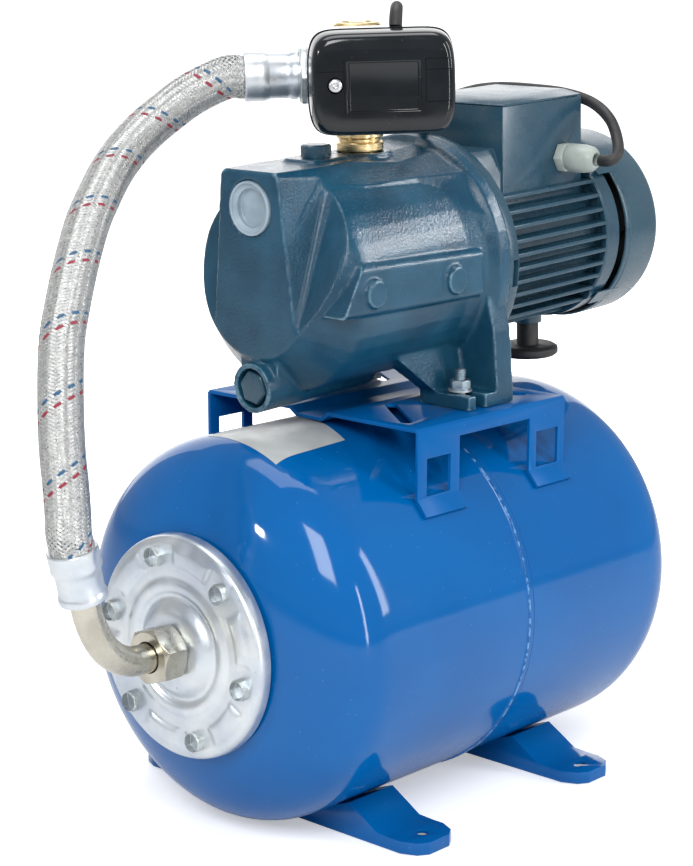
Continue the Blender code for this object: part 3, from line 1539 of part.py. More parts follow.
def make_switch_nipple(fit):
    profile = (
        (0.0205 + gap, 0.0048), (0.0205 + gap, 0.0095), (0.0255, 0.0095), (0.0255, nipple_radius),
        (switch_back + 0.010, nipple_radius), (switch_back + 0.010, 0.0032), (0.022, 0.0032), (0.022, 0.0048),
    )
    turned("switch_nipple", profile, brass(), fit, 14, "Y", (0, 0, switch_port_z))


def switch_outline(grow, corner=0.016):
    """The switch's barrel shape: bowed sides between round corners."""
    middle = (switch_top + switch_bottom) / 2
    half_height = (switch_top - switch_bottom) / 2 - grow
    half_width = switch_half_width - grow
    bow = 0.0055
    points = []
    for sx, sz, start in ((1, 1, 0), (-1, 1, 90), (-1, -1, 180), (1, -1, 270)):
        centre = (sx * (half_width - bow - corner), sz * (half_height - corner))
        points += arc(corner, start + (12 if sz * sx > 0 else 0), start + 90 - (12 if sz * sx < 0 else 0), 3, centre)
    ordered = []
    for x, z in points:
        ordered.append((x, z))
    side = []
    for x, z in ordered:
        side.append((switch_centre + x, middle + z))
    right = (switch_centre + half_width, middle)
    left = (switch_centre - half_width, middle)
    return [right, *side[:8], left, *side[8:]]


def make_switch_base(fit):
    """Rear shell of the pressure switch, a deep tray."""
    base = prism("switch_base", switch_outline(0.0), switch_back, switch_split, black_plastic(), fit, "Y")
    tray = prism(
        "switch_tray", switch_outline(switch_wall, 0.014), switch_back + 0.003, switch_split + 0.01,
        black_plastic(), fit, "Y",
    )
    port = rod(
        "switch_port", switch_back - 0.01, switch_back + 0.02, nipple_radius + gap, black_plastic(), fit, 16, "Y",
        (0, 0, switch_port_z),
    )
    pillar = rod(
        "switch_pillar", switch_back + 0.001, switch_split + 0.004, 0.005, black_plastic(), fit, 16, "Y",
        (switch_screw_x, 0, switch_screw_z),
    )
    post = block(
        "switch_post", (rocker_pivot_x - 0.003, switch_back + 0.001, 0.1185),
        (rocker_pivot_x + 0.003, rocker_y - gap, 0.1245), black_plastic(), fit,
    )
    stud = rod(
        "spring_stud", switch_back + 0.001, spring_nut_y + 0.003, spring_stud_radius, black_plastic(), fit, 12,
        "Y", (spring_stud_x, 0, switch_port_z),
    )
    stud_nut = rod(
        "spring_stud_nut", spring_nut_y, spring_nut_y + 0.0028, 0.0052, black_plastic(), fit, 6,
        "Y", (spring_stud_x, 0, switch_port_z),
    )
    notch = block(
        "switch_notch", (-0.048, switch_back - 0.01, switch_top - 0.0045), (-0.0145, switch_split + 0.01, switch_top + 0.01),
        black_plastic(), fit,
    )
    cable_hole = rod(
        "switch_cable_hole", switch_top - 0.02, switch_top + 0.01, lead_radius + gap, black_plastic(), fit, 16, "Z",
        (-0.0275, 0.047, 0),
    )
    thread = rod(
        "switch_pillar_bore", switch_back + 0.010, switch_split + 0.02, 0.0022, black_plastic(), fit, 12, "Y",
        (switch_screw_x, 0, switch_screw_z),
    )
    cut(base, tray)
    fuse(base, pillar, post, stud, stud_nut)
    cut(base, port, notch, cable_hole, thread)
    return base


def make_switch_cover(fit):
    """Front cover with drawn-in face, recessed panel and the well of its one screw."""
    start = switch_split + gap
    mid = switch_front - 0.007
    sections = []
    for y, grow in ((start, 0.0006), (mid - 0.004, 0.0022), (mid + 0.002, 0.0040), (switch_front - 0.0015, 0.0068), (switch_front, 0.0090)):
        sections.append([(x, y, z) for x, z in switch_outline(grow, 0.014)])
    cover = place("switch_cover", loft_mesh(sections), black_plastic(), fit, (switch_centre, start, (switch_top + switch_bottom) / 2))
    inside_sections = []
    for y, grow in ((start - 0.01, 0.0032), (mid - 0.004, 0.0048), (switch_front - 0.0028, 0.0100)):
        inside_sections.append([(x, y, z) for x, z in switch_outline(grow, 0.013)])
    inside = place("switch_cover_inside", loft_mesh(inside_sections), black_plastic(), fit)
    panel = prism(
        "switch_panel", rounded(0.0255, 0.1145, 0.1480, 0.0015, 2, switch_centre - 0.0026), switch_front - 0.0008,
        switch_front + 0.01, black_plastic(), fit, "Y",
    )
    well = rod(
        "switch_screw_well", switch_front - 0.0042, switch_front + 0.01, screw_radius + 0.0004, black_plastic(), fit,
        20, "Y", (switch_screw_x, 0, switch_screw_z),
    )
    sleeve = rod(
        "switch_sleeve", switch_split + 0.0045, switch_front - 0.001, screw_radius + 0.002, black_plastic(), fit, 20,
        "Y", (switch_screw_x, 0, switch_screw_z),
    )
    hole = rod(
        "switch_screw_hole", switch_split, switch_front + 0.01, 0.0023, black_plastic(), fit, 12, "Y",
        (switch_screw_x, 0, switch_screw_z),
    )
    cut(cover, inside)
    fuse(cover, sleeve)
    cut(cover, panel, well, hole)
    return cover


def make_cover_screw(fit):
    """Chromed cap screw that holds the cover."""
    seat = switch_front - 0.0042 + gap
    profile = (
        (switch_back + 0.013, 0), (switch_back + 0.013, 0.0019), (seat, 0.0019), (seat, screw_radius),
        (seat + 0.0030, screw_radius), (seat + 0.0045, screw_radius - 0.0012), (seat + 0.0052, 0.0018),
        (seat + 0.0052, 0),
    )
    centre = (switch_screw_x, 0, switch_screw_z)
    turned("cover_screw", profile, zinc(), fit, 16, "Y", centre, (switch_screw_x, seat, switch_screw_z))


def make_switch_mechanism(fit):
    """Rocker that the pressure piston tips against the range spring, and the contact block."""
    pivot = Vector((rocker_pivot_x, rocker_y, 0.1215))
    plate = [
        (-0.0375, 0.1160), (0.0050, 0.1160), (0.0085, 0.1195), (0.0085, 0.1325), (0.0050, 0.1360), (-0.0375, 0.1360),
    ]
    rocker = place(
        "switch_rocker", prism_mesh(plate, rocker_y, rocker_y + rocker_sheet, "Y"), zinc(), fit, pivot
    )
    cut(rocker, rod(
        "rocker_stud_hole", rocker_y - 0.01, rocker_y + 0.01, spring_stud_radius + 0.0018, zinc(), fit, 14, "Y",
        (spring_stud_x, 0, switch_port_z),
    ))
    rod(
        "pressure_piston", switch_back + 0.010 + gap, rocker_y - gap, 0.0075, black_rubber(), fit, 16, "Y",
        (0, 0, switch_port_z),
    )
    low, high = rocker_y + rocker_sheet + 0.0009, spring_nut_y - gap
    inner, outer = spring_stud_radius + 0.0020, spring_stud_radius + 0.0043
    turned(
        "range_spring", ((low, inner), (low, outer), (high, outer), (high, inner)), steel(), fit, 16, "Y",
        (spring_stud_x, 0, switch_port_z),
    )
    block(
        "contact_block", (switch_centre - 0.0394, switch_back + 0.0033, switch_top - 0.028),
        (switch_centre + 0.0226, switch_back + 0.016, switch_top - 0.011),
        grey_plastic(), fit, 0.0008, 1,
    )
    return rocker


def make_hose_parts(world):
    tube("hose", hose_route, hose_radius, 0.0125, 3, braid(), world)
    end = Vector(hose_route[-1])
    along = (Vector(elbow_route[-1]) - end).normalized()
    bm = turned_mesh(
        (
            (gap, 0.0085), (gap, ferrule_radius - 0.0008), (0.0010, ferrule_radius), (0.0135, ferrule_radius),
            (0.0165, crimp_radius), (ferrule_length - 0.006, crimp_radius - 0.0002),
            (ferrule_length - 0.0045, 0.0160), (ferrule_length - 0.0008, 0.0160), (ferrule_length, 0.0150),
            (ferrule_length, elbow_radius + gap), (0.012, elbow_radius + gap), (0.012, 0.0085),
        ),
        20, "Z",
    )
    turn = along.to_track_quat("Z", "Y").to_matrix().to_4x4()
    bmesh.ops.transform(bm, matrix=Matrix.Translation(end) @ turn, verts=bm.verts)
    place("hose_bottom_ferrule", bm, zinc(), world)
    inside = end + along * 0.0125
    tube("elbow_tube", (*elbow_route, tuple(inside)), elbow_radius, 0.006, 3, nickel(), world)


def make_union_nut(world):
    """Swivel nut of the elbow, on the flange's stub."""
    back = flange_face_x - 0.0062 - gap
    front = back - union_nut_length
    z = tank_axis_height
    bm = loft_mesh([
        [(front, 0.90 * a, z + 0.90 * b) for a, b in hexagon(union_nut_width, 0.3)],
        [(front + 0.0022, a, z + b) for a, b in hexagon(union_nut_width, 0.3)],
        [(back - 0.0015, a, z + b) for a, b in hexagon(union_nut_width, 0.3)],
        [(back, 0.95 * a, z + 0.95 * b) for a, b in hexagon(union_nut_width, 0.3)],
    ])
    nut = place("union_nut", bm, nickel(), world)
    cut(
        nut,
        rod("union_nut_thread", back - 0.0172, back + 0.01, stub_radius + gap, nickel(), world, 24, centre=(0, 0, z)),
        rod("union_nut_eye", front - 0.01, back, elbow_radius + gap, nickel(), world, 24, centre=(0, 0, z)),
    )


def clear_scene():
    for existing in list(bpy.data.objects):
        bpy.data.objects.remove(existing, do_unlink=True)


def build_tank(world):
    make_front_shell(world)
    make_rear_shell(world)
    make_neck_ring(world)
    make_membrane(world)
    make_flange(world)
    make_flange_bolts(world)
    make_air_valve(world)
    make_air_valve_cap(world)
    make_foot("front_foot", front_foot_x, world)
    make_foot("rear_foot", rear_foot_x, world)
    make_bracket(world)
    make_studs(world)


def build_pump(pump, shaft, world):
    make_pump_body(pump, world)
    make_suction_cap(pump)
    make_pump_plugs(pump)
    make_jet(pump)
    make_diffuser(pump)
    make_impeller(shaft)
    make_shaft(shaft)
    make_seal(pump)
    make_bearing("front_bearing", front_bearing_x, bearing_outer_radius, pump)
    make_bearing("rear_bearing", rear_bearing_x, bearing_outer_radius, pump)
    make_motor_bracket(pump)
    make_motor_housing(pump)
    make_motor_foot(pump)
    make_stator(pump)
    make_end_shield(pump)
    make_fan(shaft)
    make_fan_cover(pump)
    make_terminal_lid(pump)
    make_terminal_parts(pump)
    make_gland(pump)


def build_controls(fit, world):
    make_fitting(fit)
    make_top_ferrule(fit)
    make_switch_nipple(fit)
    make_switch_base(fit)
    make_switch_cover(fit)
    make_cover_screw(fit)
    make_switch_mechanism(fit)
    make_hose_parts(world)
    make_union_nut(world)
    tube("motor_lead", lead_route, lead_radius, 0.012, 2, black_rubber(), world)


def main():
    clear_scene()
    world = empty("set_frame", location=(-set_middle_x, 0, 0))
    pump = empty("pump_frame", world, pump_origin, (0, -pump_pitch, 0))
    shaft = empty("shaft_frame", pump)
    fit = empty("fitting_frame", pump, (outlet_x, 0, 0), (0, 0, fitting_turn))
    build_tank(world)
    build_pump(pump, shaft, world)
    build_controls(fit, world)


main()
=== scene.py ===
"""Looks of the booster pump set: studio, finishes and the finer pieces that stand for the CAD nodes."""

import math

import bpy
import numpy as np
from mathutils import Matrix, Vector


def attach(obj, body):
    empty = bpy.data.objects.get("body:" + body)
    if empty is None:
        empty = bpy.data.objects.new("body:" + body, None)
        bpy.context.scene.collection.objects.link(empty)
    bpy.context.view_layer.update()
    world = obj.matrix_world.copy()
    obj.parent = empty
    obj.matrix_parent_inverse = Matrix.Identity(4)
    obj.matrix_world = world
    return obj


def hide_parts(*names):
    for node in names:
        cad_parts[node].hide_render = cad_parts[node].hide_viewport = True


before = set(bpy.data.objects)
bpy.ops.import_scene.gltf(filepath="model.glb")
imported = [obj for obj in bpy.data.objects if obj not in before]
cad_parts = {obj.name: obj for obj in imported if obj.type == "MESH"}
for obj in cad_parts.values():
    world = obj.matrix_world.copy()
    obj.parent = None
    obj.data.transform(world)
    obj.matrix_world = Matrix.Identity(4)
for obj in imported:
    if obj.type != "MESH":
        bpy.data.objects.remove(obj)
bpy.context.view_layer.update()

# Sizes, in metres and degrees
middle_x = 0.03834
tank_axis_height = 0.139
tank_radius = 0.135
tank_half_cylinder = 0.140
tank_dome_depth = 0.062
tank_dome_power = 2.6
tank_wall = 0.0025
flange_reach = 0.210
flange_bolt_ring = 0.0634
flange_bolt_turn = 17
flange_bolt_width = 0.013
shaft_height = 0.3791
pump_pitch = 2.5
pump_front = -0.1558
suction_port_height = 0.0539
fitting_turn = 137
branch_height = 0.133
cover_screw_aside = 0.0215


def at(x, y, z):
    return Matrix.Translation((x, y, z))


def turned(angle, axis):
    return Matrix.Rotation(angle, 4, axis)


# Places, in the frame of the CAD
flange_face_x = middle_x - flange_reach
pump_place = at(middle_x + 0.0193, 0, shaft_height) @ turned(-math.radians(pump_pitch), "Y")
fitting_place = pump_place @ at(-0.0465, 0, 0) @ turned(math.radians(fitting_turn), "Z")
tank_place = at(middle_x, 0, tank_axis_height)
along_x = turned(math.pi / 2, "Y")
against_x = turned(-math.pi / 2, "Y")
along_y = turned(-math.pi / 2, "X")

hose_route = (
    (-0.0904, 0.0536, 0.5074), (-0.0992, 0.0618, 0.5069), (-0.1160, 0.0765, 0.4965),
    (-0.1310, 0.0870, 0.4838), (-0.1480, 0.0915, 0.4715), (-0.1660, 0.0905, 0.4590),
    (-0.1840, 0.0850, 0.4467), (-0.2015, 0.0775, 0.4330), (-0.2185, 0.0690, 0.4190),
    (-0.2350, 0.0590, 0.4024), (-0.2480, 0.0505, 0.3880), (-0.2613, 0.0415, 0.3714),
    (-0.2737, 0.0325, 0.3546), (-0.2822, 0.0250, 0.3374), (-0.2885, 0.0185, 0.3200),
    (-0.2934, 0.0130, 0.3025), (-0.2968, 0.0082, 0.2845), (-0.2990, 0.0035, 0.2663),
    (-0.3004, 0.0005, 0.2480), (-0.3005, 0.0, 0.2351), (-0.2984, 0.0, 0.2262),
)
lead_route = (
    (-0.0440, -0.0440, 0.5440), (-0.0425, -0.0430, 0.5508), (-0.0365, -0.0380, 0.5555),
    (-0.0270, -0.0290, 0.5530), (-0.0200, -0.0220, 0.5440), (-0.0150, -0.0190, 0.5300),
    (-0.0090, -0.0200, 0.5080), (0.0000, -0.0210, 0.4900), (0.0170, -0.0150, 0.4770),
    (0.0350, -0.0020, 0.4725), (0.0480, 0.0130, 0.4725), (0.0570, 0.0310, 0.4730),
    (0.0635, 0.0450, 0.4735), (0.0760, 0.0545, 0.4745), (0.0950, 0.0570, 0.4770),
    (0.1200, 0.0565, 0.4810), (0.1480, 0.0555, 0.4860),
    (0.1640, 0.0520, 0.4885), (0.1725, 0.0380, 0.4900), (0.1740, 0.0120, 0.4900),
    (0.1740, -0.0200, 0.4885), (0.1720, -0.0480, 0.4830), (0.1650, -0.0700, 0.4720),
    (0.1560, -0.0840, 0.4570), (0.1480, -0.0890, 0.4480), (0.1437, -0.0850, 0.4445),
    (0.1436, -0.0780, 0.4443),
)
elbow_route = (
    (-0.2300, 0.0, 0.1390), (-0.2400, 0.0, 0.1390), (-0.2520, 0.0, 0.1402), (-0.2640, 0.0, 0.1455),
    (-0.2740, 0.0, 0.1545), (-0.2812, 0.0, 0.1660), (-0.2858, 0.0, 0.1770), (-0.2890, 0.0, 0.1886),
)
hose_radius = 0.015
hose_core_radius = 0.0142
lead_radius = 0.0042
elbow_radius = 0.010


# Camera, as the photograph was taken


def set_camera():
    turn, tilt, roll = math.radians(-48.86), math.radians(13.5), math.radians(0.49)
    back = Vector((math.sin(turn) * math.cos(tilt), -math.cos(turn) * math.cos(tilt), math.sin(tilt)))
    right = (-back).cross(Vector((0, 0, 1))).normalized()
    up = right.cross(-back)
    level = math.cos(roll) * right + math.sin(roll) * up
    upright = -math.sin(roll) * right + math.cos(roll) * up
    camera = bpy.data.cameras.new("studio_camera")
    camera.lens = 93.59
    camera.sensor_width = 36.0
    camera.shift_x = -0.0649
    camera.shift_y = 0.0508
    camera.clip_end = 200
    holder = linked("studio_camera", camera)
    axes = Matrix((level, upright, back)).transposed().to_4x4()
    holder.matrix_world = at(-1.15136, -1.05428, 0.60153) @ axes
    bpy.context.scene.camera = holder


def rgb(red, green, blue):
    """A colour as it is read off the screen, 0 to 255, as the shader's linear colour."""
    def linear(level):
        share = level / 255
        return share / 12.92 if share <= 0.04045 else ((share + 0.055) / 1.055) ** 2.4
    return (linear(red), linear(green), linear(blue), 1.0)


# Node groups that several finishes share


def new_group(name, output, **inputs):
    """A group with one output. An input is a number with its default, or a vector where it is None."""
    group = bpy.data.node_groups.new(name, "ShaderNodeTree")
    for label, value in inputs.items():
        kind = "NodeSocketVector" if value is None else "NodeSocketFloat"
        socket = group.interface.new_socket(name=label, in_out="INPUT", socket_type=kind)
        if value is not None:
            socket.default_value = value
    group.interface.new_socket(name=output, in_out="OUTPUT", socket_type="NodeSocketFloat")
    given = group.nodes.new("NodeGroupInput").outputs
    return group, given, group.nodes.new("NodeGroupOutput").inputs[output]


def feed(tree, socket, value):
    """Links a value that is a socket, and sets any other."""
    if isinstance(value, bpy.types.NodeSocket):
        tree.links.new(value, socket)
    else:
        socket.default_value = value


def node(tree, kind, inputs=(), **settings):
    """Adds a node, sets its properties and feeds its inputs."""
    made = tree.nodes.new("ShaderNode" + kind)
    for key, value in settings.items():
        setattr(made, key, value)
    for key, value in dict(inputs).items():
        feed(tree, made.inputs[key], value)
    return made


def maths(tree, operation, a, b=0.0, clamp=False):
    return node(tree, "Math", {0: a, 1: b}, operation=operation, use_clamp=clamp).outputs[0]


def ramp(tree, value, low, high, start=0.0, end=1.0):
    inputs = {"Value": value, "From Min": low, "From Max": high, "To Min": start, "To Max": end}
    made = node(tree, "MapRange", inputs)
    made.interpolation_type = "SMOOTHSTEP"
    return made.outputs["Result"]


def mixed(tree, factor, a, b):
    return node(tree, "Mix", {0: factor, 6: a, 7: b}, data_type="RGBA").outputs[2]


def noise(tree, vector, scale, detail):
    return node(tree, "TexNoise", {"Vector": vector, "Scale": scale, "Detail": detail}).outputs["Fac"]


def make_patches():
    """Soft patches at a given size, for colour drift and handling marks."""
    group, given, mask = new_group("soft_patches", "Mask", Vector=None, Scale=10.0, Low=0.35, High=0.65)
    cloud = noise(group, given["Vector"], given["Scale"], 4.0)
    group.links.new(ramp(group, cloud, given["Low"], given["High"]), mask)
    return group


def make_specks():
    """Small round specks, as dust, paint nibs and points of light on a casting."""
    group, given, mask = new_group("specks", "Mask", Vector=None, Scale=400.0, Size=0.2, Share=0.1)
    cells = node(group, "TexVoronoi", {"Vector": given["Vector"], "Scale": given["Scale"]})
    near = maths(group, "LESS_THAN", cells.outputs["Distance"], given["Size"])
    shade = node(group, "SeparateColor", {"Color": cells.outputs["Color"]}).outputs[0]
    few = maths(group, "LESS_THAN", shade, given["Share"])
    group.links.new(maths(group, "MULTIPLY", near, few), mask)
    return group


def make_edges():
    """One on outer edges and corners, from how far a rounded normal leaves the real one. The finishes use it
    to paint edges paler: wear, and painted edge highlight.
    """
    group, given, mask = new_group("edge_wear_and_highlight", "Mask", Width=0.001, Break=0.0, Strength=6.0)
    rounded_normal = node(group, "Bevel", {"Radius": given["Width"]}, samples=6).outputs["Normal"]
    true_normal = node(group, "NewGeometry").outputs["Normal"]
    normals = {0: rounded_normal, 1: true_normal}
    dot = node(group, "VectorMath", normals, operation="DOT_PRODUCT").outputs["Value"]
    strong = maths(group, "MULTIPLY", maths(group, "SUBTRACT", 1.0, dot), given["Strength"])
    group.links.new(maths(group, "SUBTRACT", strong, given["Break"], clamp=True), mask)
    return group


def make_grain():
    """Height of a rough skin: coarse waves and a fine grain on them."""
    group, given, height = new_group("skin_grain", "Height", Vector=None, Coarse=120.0, Fine=600.0, Share=0.5)
    coarse = noise(group, given["Vector"], given["Coarse"], 3.0)
    fine = noise(group, given["Vector"], given["Fine"], 4.0)
    part = maths(group, "MULTIPLY", fine, given["Share"])
    group.links.new(maths(group, "ADD", coarse, part), height)
    return group


group_makers = {
    "soft_patches": make_patches, "specks": make_specks, "edge_wear_and_highlight": make_edges, "skin_grain": make_grain,
}
groups = {}


def use(tree, name, **inputs):
    """Places a shared group, made the first time that it is asked for, and feeds its inputs."""
    if name not in groups:
        groups[name] = group_makers[name]()
    made = tree.nodes.new("ShaderNodeGroup")
    made.node_tree = groups[name]
    for key, value in inputs.items():
        feed(tree, made.inputs[key], value)
    return made.outputs[0]


class Finish:
    """A material with its Principled shader, and the object coordinates that its patterns read."""

    def __init__(self, name, roughness=0.4, metallic=0.0, coat=0.0, ior=1.5):
        self.material = bpy.data.materials.new(name)
        self.material.use_nodes = True
        self.tree = self.material.node_tree
        self.shader = self.tree.nodes["Principled BSDF"]
        self.shader.inputs["Roughness"].default_value = roughness
        self.shader.inputs["Metallic"].default_value = metallic
        self.shader.inputs["Coat Weight"].default_value = coat
        self.shader.inputs["Coat Roughness"].default_value = 0.04
        self.shader.inputs["IOR"].default_value = ior
        self.place = node(self.tree, "TexCoord").outputs["Object"]

    def set(self, socket, value):
        feed(self.tree, self.shader.inputs[socket], value)

    def patches(self, scale, low=0.3, high=0.7):
        return use(self.tree, "soft_patches", Vector=self.place, Scale=scale, Low=low, High=high)

    def specks(self, scale, size, share):
        return use(self.tree, "specks", Vector=self.place, Scale=scale, Size=size, Share=share)

    def edges(self, width):
        return use(self.tree, "edge_wear_and_highlight", Width=width, Break=0.25, Strength=5.0)

    def bump(self, height, distance, strength):
        inputs = {"Height": height, "Distance": distance, "Strength": strength}
        self.set("Normal", node(self.tree, "Bump", inputs).outputs["Normal"])

    def skin(self, coarse, fine, share, distance, strength):
        """A bump from coarse waves with a fine grain on them."""
        height = use(self.tree, "skin_grain", Vector=self.place, Coarse=coarse, Fine=fine, Share=share)
        self.bump(height, distance, strength)

    def uneven(self, scale, low, high):
        """Roughness that drifts between two levels in soft patches."""
        self.set("Roughness", ramp(self.tree, self.patches(scale), 0, 1, low, high))

    def times(self, a, b):
        return maths(self.tree, "MULTIPLY", a, b)

    def mix(self, factor, a, b):
        return mixed(self.tree, factor, a, b)

    def tint(self, mask, share, base, colour):
        """Lays a share of a colour over the base where the mask is one."""
        return self.mix(self.times(mask, share), base, colour)

    def part(self, vector, axis):
        return node(self.tree, "SeparateXYZ", {"Vector": vector}).outputs[axis]

    def upward(self, low, high):
        return ramp(self.tree, self.part(node(self.tree, "NewGeometry").outputs["Normal"], "Z"), low, high)


def blue_enamel(name, shine=1.37, rough=0.07, seam=False):
    """Bright blue enamel. On the tank a thin broken line of darker and paler blue runs along the crest of the
    seam's weld bead: painted shade and highlight on the ridge.
    """
    made = Finish(name, rough, ior=shine)
    colour = made.mix(made.patches(9), rgb(0, 82, 147), rgb(0, 89, 156))
    if seam:
        # Painted shade and highlight: a broken line of darker and paler blue along the weld bead's crest.
        away = maths(made.tree, "SUBTRACT", made.part(made.place, "X"), middle_x - 0.0022)
        line = ramp(made.tree, maths(made.tree, "ABSOLUTE", away), 0.0006, 0.0015, 1.0, 0.0)
        tone = made.mix(made.patches(170, 0.46, 0.54), rgb(0, 56, 118), rgb(150, 196, 232))
        colour = made.tint(line, 0.35, colour, tone)
    colour = made.tint(made.specks(260, 0.16, 0.06), 0.12, colour, rgb(140, 180, 225))
    # Edges a paler blue: painted edge highlight.
    made.set("Base Color", made.tint(made.edges(0.0012), 0.35, colour, rgb(70, 130, 205)))
    made.uneven(24, rough - 0.02, rough + 0.03)
    made.skin(16, 200, 0.08, 0.0006, 0.22)
    return made.material


def cast_paint(name):
    """Dark petrol enamel over a sand casting."""
    made = Finish(name, 0.3, coat=0.06, ior=1.4)
    colour = made.mix(made.patches(30), rgb(14, 56, 78), rgb(25, 70, 93))
    # Painted glints: pale specks on the upward faces stand for points of light on the grain.
    lit = made.times(made.specks(900, 0.24, 0.2), made.upward(0.25, 0.95))
    colour = made.tint(lit, 0.35, colour, rgb(150, 180, 192))
    # Paler sharp edges, broken in patches: worn paint and painted edge highlight.
    sharp = node(made.tree, "NewGeometry").outputs["Pointiness"]
    edge = made.times(ramp(made.tree, sharp, 0.52, 0.57), made.patches(160, 0.3, 0.55))
    made.set("Base Color", made.tint(edge, 0.5, colour, rgb(128, 166, 182)))
    made.uneven(60, 0.13, 0.2)
    made.skin(520, 1500, 0.6, 0.0007, 0.45)
    return made.material


def motor_paint(name, low, high):
    """The same enamel over the smoother die casting and sheet of the motor."""
    made = Finish(name, 0.28, coat=0.08)
    colour = made.mix(made.patches(30), low, high)
    # Paler edges, broken in patches: worn paint and painted edge highlight.
    edge = made.times(made.edges(0.001), made.patches(140, 0.35, 0.6))
    made.set("Base Color", made.tint(edge, 0.5, colour, rgb(130, 172, 190)))
    made.uneven(70, 0.25, 0.3)
    made.skin(60, 900, 0.3, 0.0003, 0.3)
    return made.material


def bright_zinc(name):
    made = Finish(name, 0.34, metallic=0.88)
    cells = node(made.tree, "TexVoronoi", {"Vector": made.place, "Scale": 110.0})
    tone = node(made.tree, "SeparateColor", {"Color": cells.outputs["Color"]}).outputs[0]
    colour = made.mix(made.patches(28, 0.3, 0.72), rgb(186, 194, 204), rgb(214, 218, 220))
    colour = made.tint(tone, 0.14, colour, rgb(150, 168, 190))
    dirt = made.times(made.specks(210, 0.3, 0.07), made.patches(45, 0.5, 0.7))
    made.set("Base Color", made.tint(dirt, 0.6, colour, rgb(120, 112, 100)))
    made.uneven(70, 0.3, 0.42)
    made.skin(90, 700, 0.3, 0.0004, 0.3)
    return made.material


def dull_zinc(name):
    made = Finish(name, 0.42, metallic=0.85)
    made.set("Base Color", made.mix(made.patches(160), rgb(168, 174, 174), rgb(206, 212, 212)))
    made.uneven(260, 0.3, 0.5)
    made.skin(300, 1200, 0.5, 0.0003, 0.5)
    return made.material


def warm_nickel(name):
    made = Finish(name, 0.24, metallic=1.0)
    made.set("Base Color", made.mix(made.patches(40), rgb(172, 168, 156), rgb(194, 190, 178)))
    made.uneven(120, 0.2, 0.34)
    made.skin(120, 900, 0.3, 0.0003, 0.3)
    return made.material


def turned_brass(name):
    """Brass with the fine rings that a lathe leaves, up the fitting's axis."""
    made = Finish(name, 0.24, metallic=1.0)
    height = made.times(made.part(made.place, "Z"), 2200.0)
    rings = node(made.tree, "TexNoise", {"W": height, "Scale": 1.0}, noise_dimensions="1D").outputs["Fac"]
    colour = made.mix(made.patches(60), rgb(232, 206, 152), rgb(246, 226, 180))
    made.set("Base Color", made.tint(rings, 0.35, colour, rgb(176, 136, 76)))
    made.set("Roughness", ramp(made.tree, rings, 0.3, 0.7, 0.2, 0.34))
    made.bump(rings, 0.0002, 0.4)
    return made.material


def plain_metal(name, low, high, roughness):
    made = Finish(name, roughness, metallic=1.0)
    made.set("Base Color", made.mix(made.patches(70), low, high))
    made.uneven(200, roughness - 0.06, roughness + 0.08)
    made.skin(150, 900, 0.4, 0.0003, 0.3)
    return made.material


def gloss_black(name):
    made = Finish(name, 0.1, ior=1.45)
    colour = made.mix(made.patches(30), rgb(10, 15, 19), rgb(17, 23, 28))
    made.set("Base Color", made.tint(made.specks(420, 0.14, 0.05), 0.25, colour, rgb(120, 125, 130)))
    made.uneven(60, 0.07, 0.13)
    made.skin(30, 240, 0.1, 0.0004, 0.12)
    return made.material


def soft_plastic(name, low, high, roughness, grain=0.3):
    made = Finish(name, roughness)
    made.set("Base Color", made.mix(made.patches(50), low, high))
    made.uneven(110, roughness - 0.06, roughness + 0.06)
    made.skin(200, 1100, 0.6, 0.0003, grain)
    return made.material


def braid_wire(name, low, high, metallic, roughness):
    """Fine parallel wires with painted shade in the grooves between them: the pattern runs along the strand,
    read from its UV map.
    """
    made = Finish(name, roughness, metallic=metallic)
    across = made.part(node(made.tree, "UVMap").outputs["UV"], "Y")
    wave = maths(made.tree, "SINE", made.times(across, math.tau * 4))
    wire = ramp(made.tree, wave, -0.9, 0.6)
    tone = made.mix(made.patches(300), low, high)
    # Painted shade: the grooves between the wires take half the low colour.
    groove_shade = (low[0] * 0.5, low[1] * 0.5, low[2] * 0.5, 1.0)
    made.set("Base Color", made.mix(wire, groove_shade, tone))
    made.uneven(500, roughness - 0.08, roughness + 0.1)
    made.bump(wave, 0.00008, 0.8)
    return made.material


